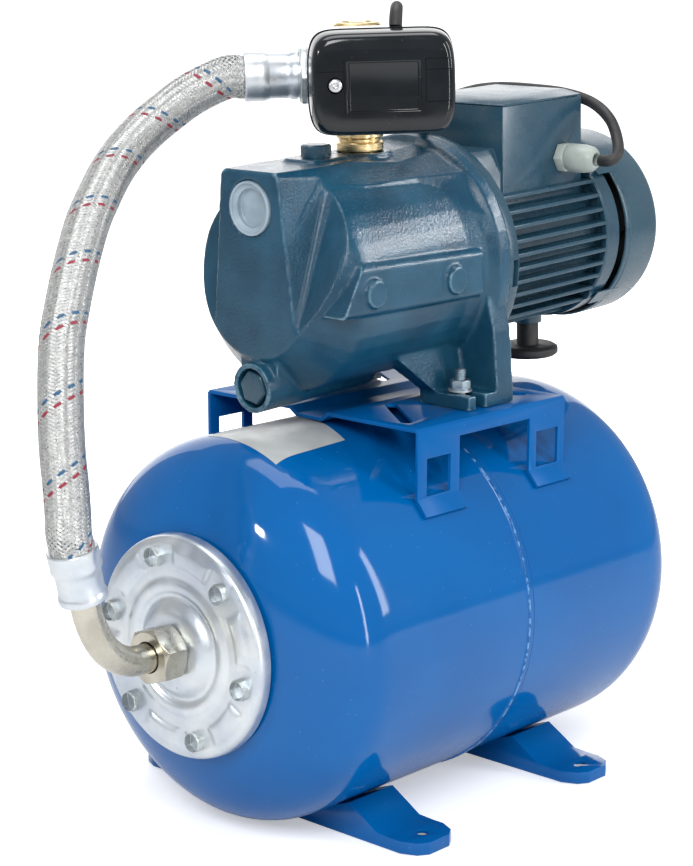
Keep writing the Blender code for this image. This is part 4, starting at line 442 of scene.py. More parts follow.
looks = {
    "blue_enamel": (blue_enamel,),
    "tank_enamel": (blue_enamel, 1.37, 0.07, True),
    "bracket_enamel": (blue_enamel, 1.22, 0.3),
    "cast_paint": (cast_paint,),
    "motor_paint": (motor_paint, rgb(31, 64, 82), rgb(36, 69, 87)),
    "cowl_paint": (motor_paint, rgb(38, 69, 86), rgb(43, 75, 91)),
    "bright_zinc": (bright_zinc,),
    "dull_zinc": (dull_zinc,),
    "warm_nickel": (warm_nickel,),
    "turned_brass": (turned_brass,),
    "gloss_black": (gloss_black,),
    "bare_steel": (plain_metal, rgb(176, 178, 180), rgb(204, 206, 208), 0.34),
    "copper_wire": (plain_metal, rgb(176, 96, 52), rgb(214, 134, 84), 0.36),
    "stud_steel": (plain_metal, rgb(146, 162, 172), rgb(182, 198, 208), 0.4),
    # Dark plastic of the fan, the caps and the inner parts; the same finish is painted shade inside the fan
    # cowl and on the disc by the fan.
    "dark_plastic_and_shade": (soft_plastic, rgb(22, 24, 26), rgb(34, 36, 38), 0.6),
    "grey_nylon": (soft_plastic, rgb(150, 160, 155), rgb(170, 179, 174), 0.42),
    "cap_grey": (soft_plastic, rgb(124, 141, 153), rgb(144, 160, 172), 0.4),
    "rubber": (soft_plastic, rgb(28, 28, 30), rgb(42, 42, 44), 0.55, 0.6),
    "paper": (soft_plastic, rgb(166, 170, 170), rgb(180, 184, 184), 0.35, 0.15),
    # The core's own grey, kept dark as painted shade where it shows between the strands of the braid.
    "hose_core": (soft_plastic, rgb(66, 68, 70), rgb(84, 86, 88), 0.5),
    "braid_steel": (braid_wire, rgb(196, 198, 198), rgb(236, 236, 234), 0.8, 0.32),
    "thread_red": (braid_wire, rgb(150, 38, 60), rgb(176, 56, 78), 0.0, 0.45),
    "thread_blue": (braid_wire, rgb(40, 92, 132), rgb(58, 116, 160), 0.0, 0.45),
}
finishes = {}


def finish(name):
    """The material of that name, made the first time that it is asked for."""
    if name not in finishes:
        maker, *values = looks[name]
        finishes[name] = maker(name, *values)
    return finishes[name]


# Modelling


def linked(name, data):
    obj = bpy.data.objects.new(name, data)
    bpy.context.scene.collection.objects.link(obj)
    return obj


def named(name):
    """The primitive that was just added, under its own name."""
    bpy.context.object.name = name
    return bpy.context.object


def pick(obj):
    bpy.ops.object.select_all(action="DESELECT")
    obj.select_set(True)
    bpy.context.view_layer.objects.active = obj


def edit(obj):
    pick(obj)
    bpy.ops.object.mode_set(mode="EDIT")
    bpy.ops.mesh.select_all(action="SELECT")


def leave():
    bpy.ops.object.mode_set(mode="OBJECT")


def apply(obj, kind, **settings):
    pick(obj)
    modifier = obj.modifiers.new(kind.lower(), kind)
    for key, value in settings.items():
        setattr(modifier, key, value)
    bpy.ops.object.modifier_apply(modifier=modifier.name)
    return obj


def settle(obj, place):
    """Puts a piece modelled about the origin at its place, and takes the place into its mesh."""
    pick(obj)
    obj.matrix_world = place
    bpy.ops.object.transform_apply(location=True, rotation=True, scale=True)
    return obj


def outward(obj):
    edit(obj)
    bpy.ops.mesh.normals_make_consistent(inside=False)
    leave()


def smooth(obj, angle=35):
    pick(obj)
    bpy.ops.object.shade_smooth_by_angle(angle=math.radians(angle))
    return obj


def dress(obj, look, body, slot, *nodes):
    """Gives a piece its finish, its body and the nodes that it stands for."""
    obj.data.materials.clear()
    obj.data.materials.append(finish(look))
    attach(obj, body)
    if nodes:
        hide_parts(*nodes)
    return obj


def lathe(name, profile, sides, place, angle=35):
    """Draws a ring out along (along, radius) points. A profile ends on the axis or where it starts."""
    least = 1e-5
    bpy.ops.object.select_all(action="DESELECT")
    start, radius = profile[0]
    bpy.ops.mesh.primitive_circle_add(vertices=sides, radius=max(radius, least), location=(0, 0, 0))
    obj = named(name)
    edit(obj)
    bpy.ops.transform.translate(value=(0, 0, start))
    for (z0, r0), (z1, r1) in zip(profile, profile[1:]):
        bpy.ops.mesh.extrude_edges_move(TRANSFORM_OT_translate={"value": (0, 0, z1 - z0)})
        grow = max(r1, least) / max(r0, least)
        if grow != 1:
            bpy.ops.transform.resize(value=(grow, grow, 1), center_override=(0, 0, z1))
    bpy.ops.mesh.select_all(action="SELECT")
    bpy.ops.mesh.remove_doubles(threshold=1.2e-5)
    bpy.ops.mesh.normals_make_consistent(inside=False)
    leave()
    return smooth(settle(obj, place), angle)


def hexagonal(name, across, low, high, chamfer, place, bore=0.0, both_ends=True, turn=0.0):
    """A hexagon bar with its corners turned off at the ends, and a bore through it."""
    radius = across / math.sqrt(3)
    bpy.ops.object.select_all(action="DESELECT")
    bpy.ops.mesh.primitive_cylinder_add(
        vertices=6, radius=radius, depth=high - low, location=(0, 0, (low + high) / 2), rotation=(0, 0, turn)
    )
    obj = named(name)
    pick(obj)
    bpy.ops.object.transform_apply(location=True, rotation=True, scale=True)
    flat = across / 2 * 0.97
    low_chamfer = chamfer if both_ends else 0.0
    low_radius = flat if both_ends else radius + 0.001
    shape = [(low, bore), (low, low_radius), (low + low_chamfer, radius + 0.0002),
             (high - chamfer, radius + 0.0002), (high, flat), (high, bore)]
    if bore:
        shape.append(shape[0])
    cutter = lathe(name + "_turning", shape, 72, Matrix())
    apply(obj, "BOOLEAN", operation="INTERSECT", object=cutter, solver="EXACT")
    bpy.data.objects.remove(cutter)
    apply(obj, "BEVEL", width=0.00025, segments=2, limit_method="ANGLE", angle_limit=math.radians(25))
    return smooth(settle(obj, place), 30)


def copy_of(source, name):
    """A copy of a CAD node's mesh, its loose triangles merged and its flat faces made whole."""
    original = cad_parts[source]
    obj = linked(name, original.data.copy())
    edit(obj)
    bpy.ops.mesh.remove_doubles(threshold=1e-6)
    bpy.ops.mesh.dissolve_limited(angle_limit=math.radians(0.5))
    leave()
    return obj


def eased(source, look, body, slot, width):
    """A CAD node's shape with its corners eased, standing for the node."""
    obj = copy_of(source, source + "_shape")
    if width:
        apply(obj, "BEVEL", width=width, segments=2, limit_method="ANGLE",
              angle_limit=math.radians(32), use_clamp_overlap=True, harden_normals=False)
    smooth(obj)
    return dress(obj, look, body, slot, source)


# Routes


def curve_through(points, spacing):
    """Points at equal steps on a smooth curve through the given ones, in the CAD's frame."""
    points = [Vector(point) + Vector((middle_x, 0, 0)) for point in points]
    padded = [2 * points[0] - points[1], *points, 2 * points[-1] - points[-2]]
    fine = []
    for a, b, c, d in zip(padded, padded[1:], padded[2:], padded[3:]):
        for i in range(24):
            t = i / 24
            fine.append(
                0.5 * (2 * b + (c - a) * t + (2 * a - 5 * b + 4 * c - d) * t * t
                       + (3 * b - a - 3 * c + d) * t ** 3)
            )
    fine.append(points[-1])
    fine = np.array(fine)
    lengths = np.concatenate([[0], np.cumsum(np.linalg.norm(np.diff(fine, axis=0), axis=1))])
    steps = max(2, round(lengths[-1] / spacing))
    at = np.linspace(0, lengths[-1], steps + 1)
    return np.stack([np.interp(at, lengths, fine[:, i]) for i in range(3)], axis=1)


def line_curve(name, path, radius, resolution):
    curve = bpy.data.curves.new(name, "CURVE")
    curve.dimensions = "3D"
    curve.bevel_depth = radius
    curve.bevel_resolution = resolution
    curve.use_fill_caps = True
    spline = curve.splines.new("POLY")
    spline.points.add(len(path) - 1)
    for point, place in zip(spline.points, path):
        point.co = (*place, 1.0)
    return linked(name, curve)


def frames_along(path):
    """Two directions across the path at each point, carried along it without twist."""
    ahead = np.gradient(path, axis=0)
    ahead /= np.linalg.norm(ahead, axis=1)[:, None]
    side = np.cross(ahead[0], (0, 0, 1))
    sides = []
    for direction in ahead:
        side = side - direction * side.dot(direction)
        side = side / np.linalg.norm(side)
        sides.append(side)
    sides = np.array(sides)
    return sides, np.cross(ahead, sides)


braid_pitch = 0.0475
braid_carriers = 20
strand_width = 0.0019
strand_thickness = 0.00024
strand_edge = 0.00013
strand_inset = 0.00052
braid_lift = 0.00018
tracer_carriers = (0, 3)


def braid_strands(name, path, numbers, sense):
    """Flat strands wound one way round the hose, over two and under two of the other way's."""
    sides, ups = frames_along(path)
    ahead = np.cross(sides, ups)
    along = np.concatenate([[0], np.cumsum(np.linalg.norm(np.diff(path, axis=0), axis=1))])
    mesh_points, faces, uvs = [], [], []
    slope = math.tau * hose_core_radius / braid_pitch
    for number in numbers:
        turn = sense * math.tau * along / braid_pitch + math.tau * number / braid_carriers
        crossing = 2 * number + sense * 2 * braid_carriers * along / braid_pitch
        wave = np.sin(math.tau * crossing / 4 + math.pi / 4) * sense
        radius = hose_radius - strand_inset + braid_lift * np.clip(wave * 1.3, -1, 1)
        out = np.cos(turn)[:, None] * sides + np.sin(turn)[:, None] * ups
        round_way = -np.sin(turn)[:, None] * sides + np.cos(turn)[:, None] * ups
        run = sense * slope * round_way + ahead
        run /= np.linalg.norm(run, axis=1)[:, None]
        across = np.cross(out, run)
        half = strand_width / 2
        shape = (
            (-0.8, strand_thickness), (-1, strand_edge), (-0.45, 0),
            (0.45, 0), (1, strand_edge), (0.8, strand_thickness),
        )
        corners = np.stack([
            path + out * (radius - drop)[:, None] + across * half * aside for aside, drop in shape
        ], axis=1)
        first = sum(len(block) for block in mesh_points)
        mesh_points.append(corners.reshape(-1, 3))
        count = len(path)
        for i in range(count - 1):
            a, b = first + 6 * i, first + 6 * (i + 1)
            for k in range(6):
                n = (k + 1) % 6
                faces.append((a + k, b + k, b + n, a + n))
                low, high = {1: (0.0, 0.28), 2: (0.28, 0.72), 3: (0.72, 1.0)}.get(k, (0.0, 0.05))
                uvs += [(0, low), (1, low), (1, high), (0, high)]
        faces.append(tuple(range(first, first + 6)))
        last = first + 6 * (count - 1)
        faces.append(tuple(range(last + 5, last - 1, -1)))
        uvs += [(0, 0)] * 12
    mesh = bpy.data.meshes.new(name)
    mesh.from_pydata(np.concatenate(mesh_points).tolist(), [], faces)
    layer = mesh.uv_layers.new(name="strand")
    layer.data.foreach_set("uv", np.array(uvs, np.float32).reshape(-1))
    obj = linked(name, mesh)
    outward(obj)
    return smooth(obj, 50)


def make_hose():
    path = curve_through(hose_route, 0.0005)
    core = line_curve("hose_core", curve_through(hose_route, 0.006), hose_core_radius, 6)
    dress(core, "hose_core", "pump_set", "braid", "hose")
    plain = [i for i in range(braid_carriers) if i not in tracer_carriers]
    red, blue = tracer_carriers
    rows = (
        ("braid_right_a", range(0, 10), -1, "braid_steel"),
        ("braid_right_b", range(10, 20), -1, "braid_steel"),
        ("braid_left_a", plain[:9], 1, "braid_steel"),
        ("braid_left_b", plain[9:], 1, "braid_steel"),
        ("tracer_red", [red], 1, "thread_red"),
        ("tracer_blue", [blue], 1, "thread_blue"),
    )
    strands = [
        dress(braid_strands(name, path, numbers, sense), look, "pump_set", "braid")
        for name, numbers, sense, look in rows
    ]
    coarse = curve_through(hose_route, 0.006)


def make_lead():
    path = curve_through(lead_route, 0.003)
    lead = line_curve("motor_lead_cable", path, lead_radius, 5)
    dress(lead, "rubber", "pump_set", "black_rubber", "motor_lead")


# Tank


def dome_rise(ring):
    share = min(1.0, ring / tank_radius) ** tank_dome_power
    return tank_dome_depth * (1 - share) ** (1 / tank_dome_power)


def shell_profile(hole, steps):
    """(along, radius) of half the tank from the end of its cylinder to the hole in its dome."""
    points = []
    least = math.asin(hole / tank_radius)
    for i in range(steps + 1):
        turn = math.pi / 2 - (math.pi / 2 - least) * i / steps
        ring = tank_radius * math.sin(turn)
        points.append((tank_half_cylinder + dome_rise(ring), ring))
    return points


def make_tank():
    wall = tank_wall
    for name, node_name, sign, hole in (
        ("tank_front", "tank_front_shell", -1, 0.045), ("tank_rear", "tank_rear_shell", 1, 0.0045),
    ):
        dome = shell_profile(hole, 34)
        start = 0.0038
        seam = [(start, tank_radius - wall), (start, tank_radius)]
        if sign < 0:
            seam = [
                (-0.0032, tank_radius - wall), (-0.0032, tank_radius), (0.0006, tank_radius),
                (0.0012, tank_radius + 0.0008), (0.0022, tank_radius + 0.0011),
                (0.0032, tank_radius + 0.0008), (0.0038, tank_radius),
            ]
        inner = [(x - wall * 0.9, max(r - wall, hole)) for x, r in reversed(dome[:-1])]
        rings = [(0.05, tank_radius), (0.1, tank_radius)]
        profile = [*seam, *rings, *dome, (dome[-1][0] - wall, hole), *inner, seam[0]]
        side = along_x if sign > 0 else along_x @ turned(math.pi, "X")
        shell = lathe(name, profile, 144, tank_place @ side, 40)
        dress(shell, "tank_enamel", "pump_set", "blue_paint", node_name)
        if sign < 0:
            tank_front = shell
    return tank_front


def make_flange():
    face = -flange_reach
    front = [
        (face - 0.023, 0.0162), (face - 0.0064, 0.0165), (face - 0.0060, 0.0210), (face - 0.0058, 0.0240),
        (face - 0.0050, 0.0272), (face - 0.0032, 0.0300), (face - 0.0008, 0.0322), (face + 0.0010, 0.0340),
        (face + 0.0016, 0.0356), (face + 0.0012, 0.0372), (face + 0.0000, 0.0386), (face - 0.0010, 0.0402),
        (face - 0.0013, 0.0425), (face - 0.0011, 0.0448), (face - 0.0005, 0.0466), (face + 0.0002, 0.0480),
        (face + 0.0002, 0.0500), (face, 0.0520), (face, 0.0540), (face, 0.0555), (face, 0.0567),
        (face, 0.0582), (face, 0.0600), (face, 0.0634), (face, 0.0668), (face, 0.0686), (face, 0.0700),
        (face, 0.0715), (face + 0.0004, 0.0727), (face + 0.0007, 0.0738), (face + 0.0010, 0.0748),
        (face + 0.0022, 0.0760), (face + 0.0040, 0.0767), (face + 0.0060, 0.0770), (face + 0.0110, 0.0770),
    ]
    back = [
        (face + 0.0110, 0.0749), (face + 0.0055, 0.0746), (face + 0.0030, 0.0720), (face + 0.0030, 0.047),
        (face + 0.0042, 0.0355), (face - 0.0032, 0.024), (face - 0.0032, 0.0125), (face - 0.023, 0.0125),
        (face - 0.023, 0.0162),
    ]
    flange = lathe("flange_cover", front + back, 216, tank_place @ along_x, 40)
    centre = Vector((0, 0, tank_axis_height))
    # pressed pads between the bolts, in three steps: from ring, to ring, half angle, lift
    steps = (
        (0.0560, 0.0710, 15.5, 0.0007), (0.0575, 0.0695, 14.0, 0.0009), (0.0590, 0.0680, 12.0, 0.0004),
    )
    for low, high, spread, lift in steps:
        for vertex in flange.data.vertices:
            offset = vertex.co - centre
            ring = math.hypot(offset.y, offset.z)
            turn = math.degrees(math.atan2(offset.y, offset.z)) - flange_bolt_turn - 30
            nearest = abs((turn + 30) % 60 - 30)
            flat = vertex.co.x < flange_face_x + 0.0005
            vertex.select = bool(flat and low < ring < high and nearest < spread)
        for part in (*flange.data.polygons, *flange.data.edges):
            part.select = False
        pick(flange)
        bpy.ops.object.mode_set(mode="EDIT")
        bpy.ops.transform.translate(value=(-lift, 0, 0))
        leave()
    dress(flange, "bright_zinc", "pump_set", "zinc", "tank_flange")


def make_flange_bolts():
    """Six hexagon bolts on the flange, each at its own turn."""
    for i, turn_of_head in enumerate((0.3, 1.1, 0.75, 0.5, 0.1, 0.9)):
        turn = math.radians(flange_bolt_turn) + math.tau * i / 6
        y, z = flange_bolt_ring * math.sin(turn), tank_axis_height + flange_bolt_ring * math.cos(turn)
        place = at(flange_face_x - 0.0002, y, z) @ against_x
        bolt = hexagonal(
            f"flange_bolt_head_{i + 1}", flange_bolt_width, 0.0, 0.0056, 0.0009, place,
            both_ends=False, turn=turn_of_head,
        )
        dress(bolt, "dull_zinc", "pump_set", "zinc", f"flange_bolt_{i + 1}")


def make_elbow():
    path = curve_through(elbow_route, 0.0015)
    elbow = line_curve("elbow_bend", path, elbow_radius, 10)
    pick(elbow)
    bpy.ops.object.convert(target="MESH")
    edit(elbow)
    bpy.ops.mesh.remove_doubles(threshold=1e-6)
    bpy.ops.mesh.normals_make_consistent(inside=False)
    leave()
    smooth(elbow, 40)
    dress(elbow, "warm_nickel", "pump_set", "nickel", "elbow_tube")
    back = flange_face_x - 0.0062 - 0.0003
    place = at(back, 0, tank_axis_height) @ against_x
    nut = hexagonal("union_nut_hex", 0.035, 0.0, 0.020, 0.0026, place, bore=elbow_radius + 0.0007, turn=0.3)
    dress(nut, "warm_nickel", "union_nut", "nickel", "union_nut")


def make_ferrules():
    start = 0.0415
    end = start + 0.0366
    top = [
        (start + 0.0004, 0.0160), (start + 0.0045, 0.0160), (start + 0.0060, 0.0150),
        (start + 0.0080, 0.0152), (end - 0.0175, 0.0152), (end - 0.0160, 0.0158), (end - 0.0138, 0.0165),
        (end - 0.0120, 0.0167), (end - 0.0100, 0.0165), (end - 0.0080, 0.0166), (end - 0.0018, 0.0168),
        (end - 0.0005, 0.0165), (end, 0.0158), (end, 0.0142), (start + 0.008, 0.0135),
        (start - 0.013, 0.0132), (start - 0.0130, 0.0178), (start - 0.0010, 0.0178),
        (start - 0.0006, 0.0150), (start + 0.0002, 0.0150), (start + 0.0004, 0.0160),
    ]
    port = at(0, 0, branch_height) @ along_x
    ferrule = lathe("hose_top_sleeve", top, 64, fitting_place @ port, 40)
    dress(ferrule, "bright_zinc", "pump_set", "zinc", "hose_top_ferrule")
    nut = hexagonal(
        "hose_top_nut_hex", 0.0368, start - 0.0128, start - 0.0012, 0.0014, fitting_place @ port, bore=0.0133,
    )
    dress(nut, "dull_zinc", "pump_set", "zinc")
    shift = Vector((middle_x, 0, 0))
    low = Vector(hose_route[-1]) + shift
    aim = (Vector(elbow_route[-1]) + shift - low).normalized()
    place = Matrix.Translation(low) @ aim.to_track_quat("Z", "Y").to_matrix().to_4x4()
    bottom = [
        (0.0003, 0.0142), (0.0003, 0.0160), (0.0010, 0.0167), (0.0070, 0.0168), (0.0095, 0.0165),
        (0.0115, 0.0167), (0.0135, 0.0168), (0.0150, 0.0162), (0.0165, 0.0153), (0.0185, 0.0151),
        (0.0300, 0.0150), (0.0312, 0.0154), (0.0322, 0.0160), (0.0350, 0.0161), (0.0362, 0.0157),
        (0.0366, 0.0148), (0.0366, 0.0104), (0.0120, 0.0104), (0.0003, 0.0142),
    ]
    sleeve = lathe("hose_bottom_sleeve", bottom, 64, place, 40)
    dress(sleeve, "bright_zinc", "pump_set", "zinc", "hose_bottom_ferrule")


def make_plate(tank_front):
    """Bare pale label on top of the tank."""
    bpy.ops.object.select_all(action="DESELECT")
    bpy.ops.mesh.primitive_grid_add(x_subdivisions=40, y_subdivisions=30, size=1.0, location=(0, 0, 0))
    label = named("bare_label")
    above_tank = 0.32
    corners = [
        Vector((-0.1603, -0.0445)), Vector((-0.0891, -0.0404)),
        Vector((-0.0667, 0.0263)), Vector((-0.1529, 0.0272)),
    ]
    for vertex in label.data.vertices:
        u, v = vertex.co.x + 0.5, vertex.co.y + 0.5
        low = corners[0].lerp(corners[1], u)
        high = corners[3].lerp(corners[2], u)
        spot = low.lerp(high, v)
        vertex.co = (spot.x + middle_x, spot.y, above_tank)
    apply(label, "SHRINKWRAP", target=tank_front, wrap_method="PROJECT", use_project_z=True,
          use_negative_direction=True, use_positive_direction=False, offset=0.00012)
    apply(label, "SOLIDIFY", thickness=0.0001, offset=1.0)
    smooth(label, 30)
    dress(label, "paper", "pump_set", "blue_paint")


# Switch


def barrel(name, levels, place, sides=160):
    """A closed box with bowed ends and a flat top: (depth, half width, half height) levels."""
    bpy.ops.object.select_all(action="DESELECT")
    depth, wide, tall = levels[0]
    bpy.ops.mesh.primitive_circle_add(vertices=sides, radius=1.0, fill_type="NGON", location=(0, 0, 0))
    obj = named(name)
    across_power, up_power = 2 / 9, 2 / 3.4
    for vertex in obj.data.vertices:
        turn = math.atan2(vertex.co.y, vertex.co.x)
        c, s = math.cos(turn), math.sin(turn)
        across = math.copysign(abs(c) ** across_power, c)
        up = math.copysign(abs(s) ** up_power, s)
        vertex.co = (wide * across, tall * up, depth)
    edit(obj)
    for (z0, w0, h0), (z1, w1, h1) in zip(levels, levels[1:]):
        bpy.ops.mesh.extrude_region_move(TRANSFORM_OT_translate={"value": (0, 0, z1 - z0)})
        if (w0, h0) != (w1, h1):
            bpy.ops.transform.resize(value=(w1 / w0, h1 / h0, 1), center_override=(0, 0, z1))
    bpy.ops.mesh.select_all(action="SELECT")
    bpy.ops.mesh.normals_make_consistent(inside=False)
    leave()
    return settle(obj, place)


def rounded_block(name, low, high, radius, place):
    bpy.ops.object.select_all(action="DESELECT")
    size = [b - a for a, b in zip(low, high)]
    middle = [(a + b) / 2 for a, b in zip(low, high)]
    bpy.ops.mesh.primitive_cube_add(size=1, location=middle, scale=size)
    obj = named(name)
    pick(obj)
    bpy.ops.object.transform_apply(location=True, rotation=True, scale=True)
    if radius:
        apply(obj, "BEVEL", width=radius, segments=3)
    return settle(obj, place)


def carve(obj, *cutters):
    for cutter in cutters:
        apply(obj, "BOOLEAN", operation="DIFFERENCE", object=cutter, solver="EXACT")
        bpy.data.objects.remove(cutter)
    return obj


def make_switch():
    # in this frame x runs to the right of the face, y up, z out of it
    face = fitting_place @ at(-0.0106, 0, branch_height) @ along_y @ turned(math.pi, "Z")
    screw_place = fitting_place @ at(cover_screw_aside, 0, branch_height) @ along_y
    base = barrel("switch_tray", [
        (0.0340, 0.0470, 0.0330), (0.0350, 0.0482, 0.0342), (0.0365, 0.0488, 0.0348),
        (0.0598, 0.0490, 0.0350),
    ], face)
    hollow = barrel("tray_hollow", [(0.0372, 0.0462, 0.0322), (0.0610, 0.0464, 0.0324)], face)
    room = lathe("plug_room", [(0.09, 0.0), (0.09, 0.0112), (0.1, 0.0112), (0.1, 0.0)], 40,
                 pump_place @ at(-0.0906, 0, 0))
    carve(base, hollow, room)
    smooth(base, 40)
    dress(base, "gloss_black", "pump_set", "black_plastic", "switch_base")
    levels = [
        (0.0604, 0.0478, 0.0338), (0.0606, 0.0484, 0.0344), (0.0700, 0.0479, 0.0338),
        (0.0765, 0.0472, 0.0330), (0.0794, 0.0463, 0.0321), (0.0812, 0.0451, 0.0310),
        (0.0823, 0.0438, 0.0297), (0.0828, 0.0420, 0.0280), (0.0830, 0.0340, 0.0210),
    ]
    cover = barrel("switch_front", levels, face)
    inside = barrel("front_hollow", [
        (0.0590, 0.0455, 0.0315), (0.0760, 0.0435, 0.0295), (0.0795, 0.0380, 0.0240),
    ], face)
    carve(cover, inside)
    soft = 0.0006
    frame_cut = rounded_block("panel_frame", (-0.0250, -0.0182, 0.0824), (0.0240, 0.0155, 0.090), soft, face)
    panel = rounded_block("panel_cut", (-0.0228, -0.0170, 0.0817), (0.0222, 0.0143, 0.090), soft, face)
    well = lathe("well_cut", [
        (0.0790, 0), (0.0790, 0.0053), (0.0900, 0.0053), (0.0900, 0),
    ], 40, screw_place)
    carve(cover, frame_cut, panel, well)
    lines = (
        (-0.0266, -0.0182, -0.0261, 0.0155), (-0.0440, 0.0087, -0.0266, 0.0092),
        (0.0269, -0.0120, 0.0274, 0.0163), (0.0274, 0.0158, 0.0440, 0.0163),
        (0.0274, 0.0087, 0.0440, 0.0092), (0.0274, -0.0120, 0.0440, -0.0115),
    )
    for number, (left, low, right, high) in enumerate(lines):
        corners = (left, low, 0.0816), (right, high, 0.088)
        carve(cover, rounded_block(f"groove_{number + 1}", *corners, 0, face))
    smooth(cover, 30)
    dress(cover, "gloss_black", "switch_cover", "black_plastic", "switch_cover")
    screw = lathe("cover_screw_head", [
        (0.047, 0), (0.047, 0.0019), (0.0791, 0.0019), (0.0791, 0.0046), (0.0815, 0.0048), (0.0826, 0.0046),
        (0.0834, 0.0038), (0.0838, 0.0026), (0.0838, 0.0020), (0.0826, 0.0016), (0.0822, 0.0),
    ], 40, screw_place, 45)
    dress(screw, "bare_steel", "cover_screw", "zinc", "cover_screw")


# Motor, bolts and fitting


def spoke_window(name, inner, outer, half_angle, low, high, turn, place):
    """Cutter for one opening of the grille, wider at its outer end."""
    bpy.ops.object.select_all(action="DESELECT")
    bpy.ops.mesh.primitive_cube_add(size=2, location=(0, 0, 0))
    obj = named(name)
    for vertex in obj.data.vertices:
        reach = outer if vertex.co.x > 0 else inner
        vertex.co = (reach, vertex.co.y * reach * math.tan(half_angle), high if vertex.co.z > 0 else low)
    apply(obj, "BEVEL", width=0.0022, segments=2, limit_method="ANGLE", angle_limit=math.radians(40))
    return settle(obj, place @ turned(turn, "Z"))


def paint_inner_shade(obj, centre, axis, look):
    """Gives the faces that look at the axis a second finish, used for painted shade on the inside."""
    obj.data.materials.append(finish(look))
    for polygon in obj.data.polygons:
        offset = polygon.center - centre
        offset -= axis * offset.dot(axis)
        if polygon.normal.dot(offset) < -0.3 * offset.length:
            polygon.material_index = 1


def make_fan_cover():
    front, rear, r = 0.171, 0.216, 0.0705
    place = pump_place @ along_x
    cover = lathe("cowl", [
        (front, r - 0.0016), (front, r - 0.0008), (front + 0.0004, r - 0.0002), (front + 0.0010, r),
        (front + 0.0034, r), (front + 0.0040, r - 0.0005), (front + 0.0048, r - 0.0005),
        (front + 0.0054, r), (rear - 0.0090, r), (rear - 0.0060, r - 0.0009), (rear - 0.0030, r - 0.0031),
        (rear - 0.0012, r - 0.0058), (rear - 0.0002, r - 0.0085), (rear, r - 0.0100), (rear, 0.0),
        (rear - 0.0016, 0.0), (rear - 0.0016, r - 0.0105), (rear - 0.0045, r - 0.0050),
        (rear - 0.0095, r - 0.0016), (front, r - 0.0016),
    ], 120, place, 30)
    windows = [
        spoke_window(f"cowl_window_{i + 1}", 0.018, 0.0440, math.radians(10.5), rear - 0.01, rear + 0.01,
                     math.tau * (i + 0.5) / 12, place)
        for i in range(12)
    ]
    carve(cover, *windows)
    smooth(cover, 30)
    dress(cover, "cowl_paint", "pump_set", "pump_paint", "fan_cover")
    # The cowl's inner faces take the dark finish: painted shade inside the cowl.
    axis = (pump_place.to_3x3() @ Vector((1, 0, 0))).normalized()
    paint_inner_shade(cover, pump_place.to_translation(), axis, "dark_plastic_and_shade")
    for i in range(4):
        strap = rounded_block(
            f"cowl_strap_{i + 1}", (0.156, -0.007, 0.0708 - 0.0016), (0.183, 0.007, 0.0708 - 0.0004), 0.0003,
            pump_place @ turned(math.radians(45 + 90 * i), "X"),
        )
        dress(strap, "motor_paint", "pump_set", "pump_paint")
    rim = lathe("shield_rim", [
        (0.1508, 0.0600), (0.1508, 0.0662), (0.1520, 0.0674), (0.1652, 0.0674), (0.1662, 0.0664),
        (0.1662, 0.0600), (0.1508, 0.0600),
    ], 96, place)
    dress(rim, "motor_paint", "pump_set", "pump_paint")
    # A dark disc by the fan inside the cowl, seen through the grille: a sheet of painted shade.
    disc = lathe("fan_shade_disc", [
        (0.1921, 0.0120), (0.1921, 0.0555), (0.1929, 0.0555), (0.1929, 0.0120), (0.1921, 0.0120),
    ], 64, place)
    dress(disc, "dark_plastic_and_shade", "rotor_group", "black_plastic")


def make_mounts():
    """Threaded bolts through the bracket, each with its washer and nut on the pump's foot."""
    for side, label in ((-1, "left"), (1, "right")):
        place = at(middle_x - 0.001, side * 0.0684, 0)
        root, crest, thread_pitch = 0.0034, 0.00395, 0.00125
        profile = [(0.2797, 0.0), (0.2797, root)]
        for i in range(23):
            z = 0.2802 + thread_pitch * i
            profile += [(z, root), (z + 0.0004, crest), (z + 0.0007, crest)]
        profile += [(0.3086, root), (0.3090, 0.0030), (0.3090, 0.0)]
        thread = lathe(f"thread_{label}", profile, 32, place, 20)
        dress(thread, "stud_steel", "pump_set", "zinc", f"mount_bolt_{label}")
        head = hexagonal(f"bolt_head_{label}", 0.013, 0.2747, 0.2798, 0.0008, place)
        dress(head, "dull_zinc", "pump_set", "zinc")
        nut = hexagonal(f"nut_{label}", 0.013, 0.2948, 0.3014, 0.0010, place, bore=0.0043, turn=0.4)
        dress(nut, "stud_steel", "pump_set", "zinc", f"mount_nut_{label}")
        washer = lathe(f"washer_{label}", [
            (0.2934, 0.0044), (0.2934, 0.0085), (0.2945, 0.0085), (0.2947, 0.0082), (0.2947, 0.0044),
            (0.2934, 0.0044),
        ], 48, place)
        dress(washer, "bright_zinc", "pump_set", "zinc")


def make_pump_head():
    """Pump casting, without the stub of the far shelf that would stand off the barrel's front corner."""
    head = copy_of("pump_body", "pump_head")
    stub = rounded_block("shelf_stub", (-0.160, 0.040, -0.030), (-0.1165, 0.095, 0.033), 0, pump_place)
    edge, full, bend, front = 0.0477, 0.075, 0.016, pump_front
    back = front + (full - bend) - edge + bend * math.sqrt(2)
    profile = [(-0.1, 0.0), (front, 0.0), (front, edge)]
    for i in range(4):
        turn = math.radians(45 * (1 - i / 3))
        profile.append((back - bend * math.sin(turn), full - bend + bend * math.cos(turn)))
    profile += [(-0.1, full), (-0.1, 0.0)]
    carve(stub, lathe("barrel_front", profile, 96, pump_place @ along_x))
    carve(head, stub)
    apply(head, "REMESH", mode="VOXEL", voxel_size=0.0013, adaptivity=0.0)
    apply(head, "SMOOTH", factor=0.5, iterations=1)
    apply(head, "DECIMATE", ratio=0.6)
    smooth(head, 70)
    return dress(head, "cast_paint", "pump_set", "pump_paint", "pump_body")


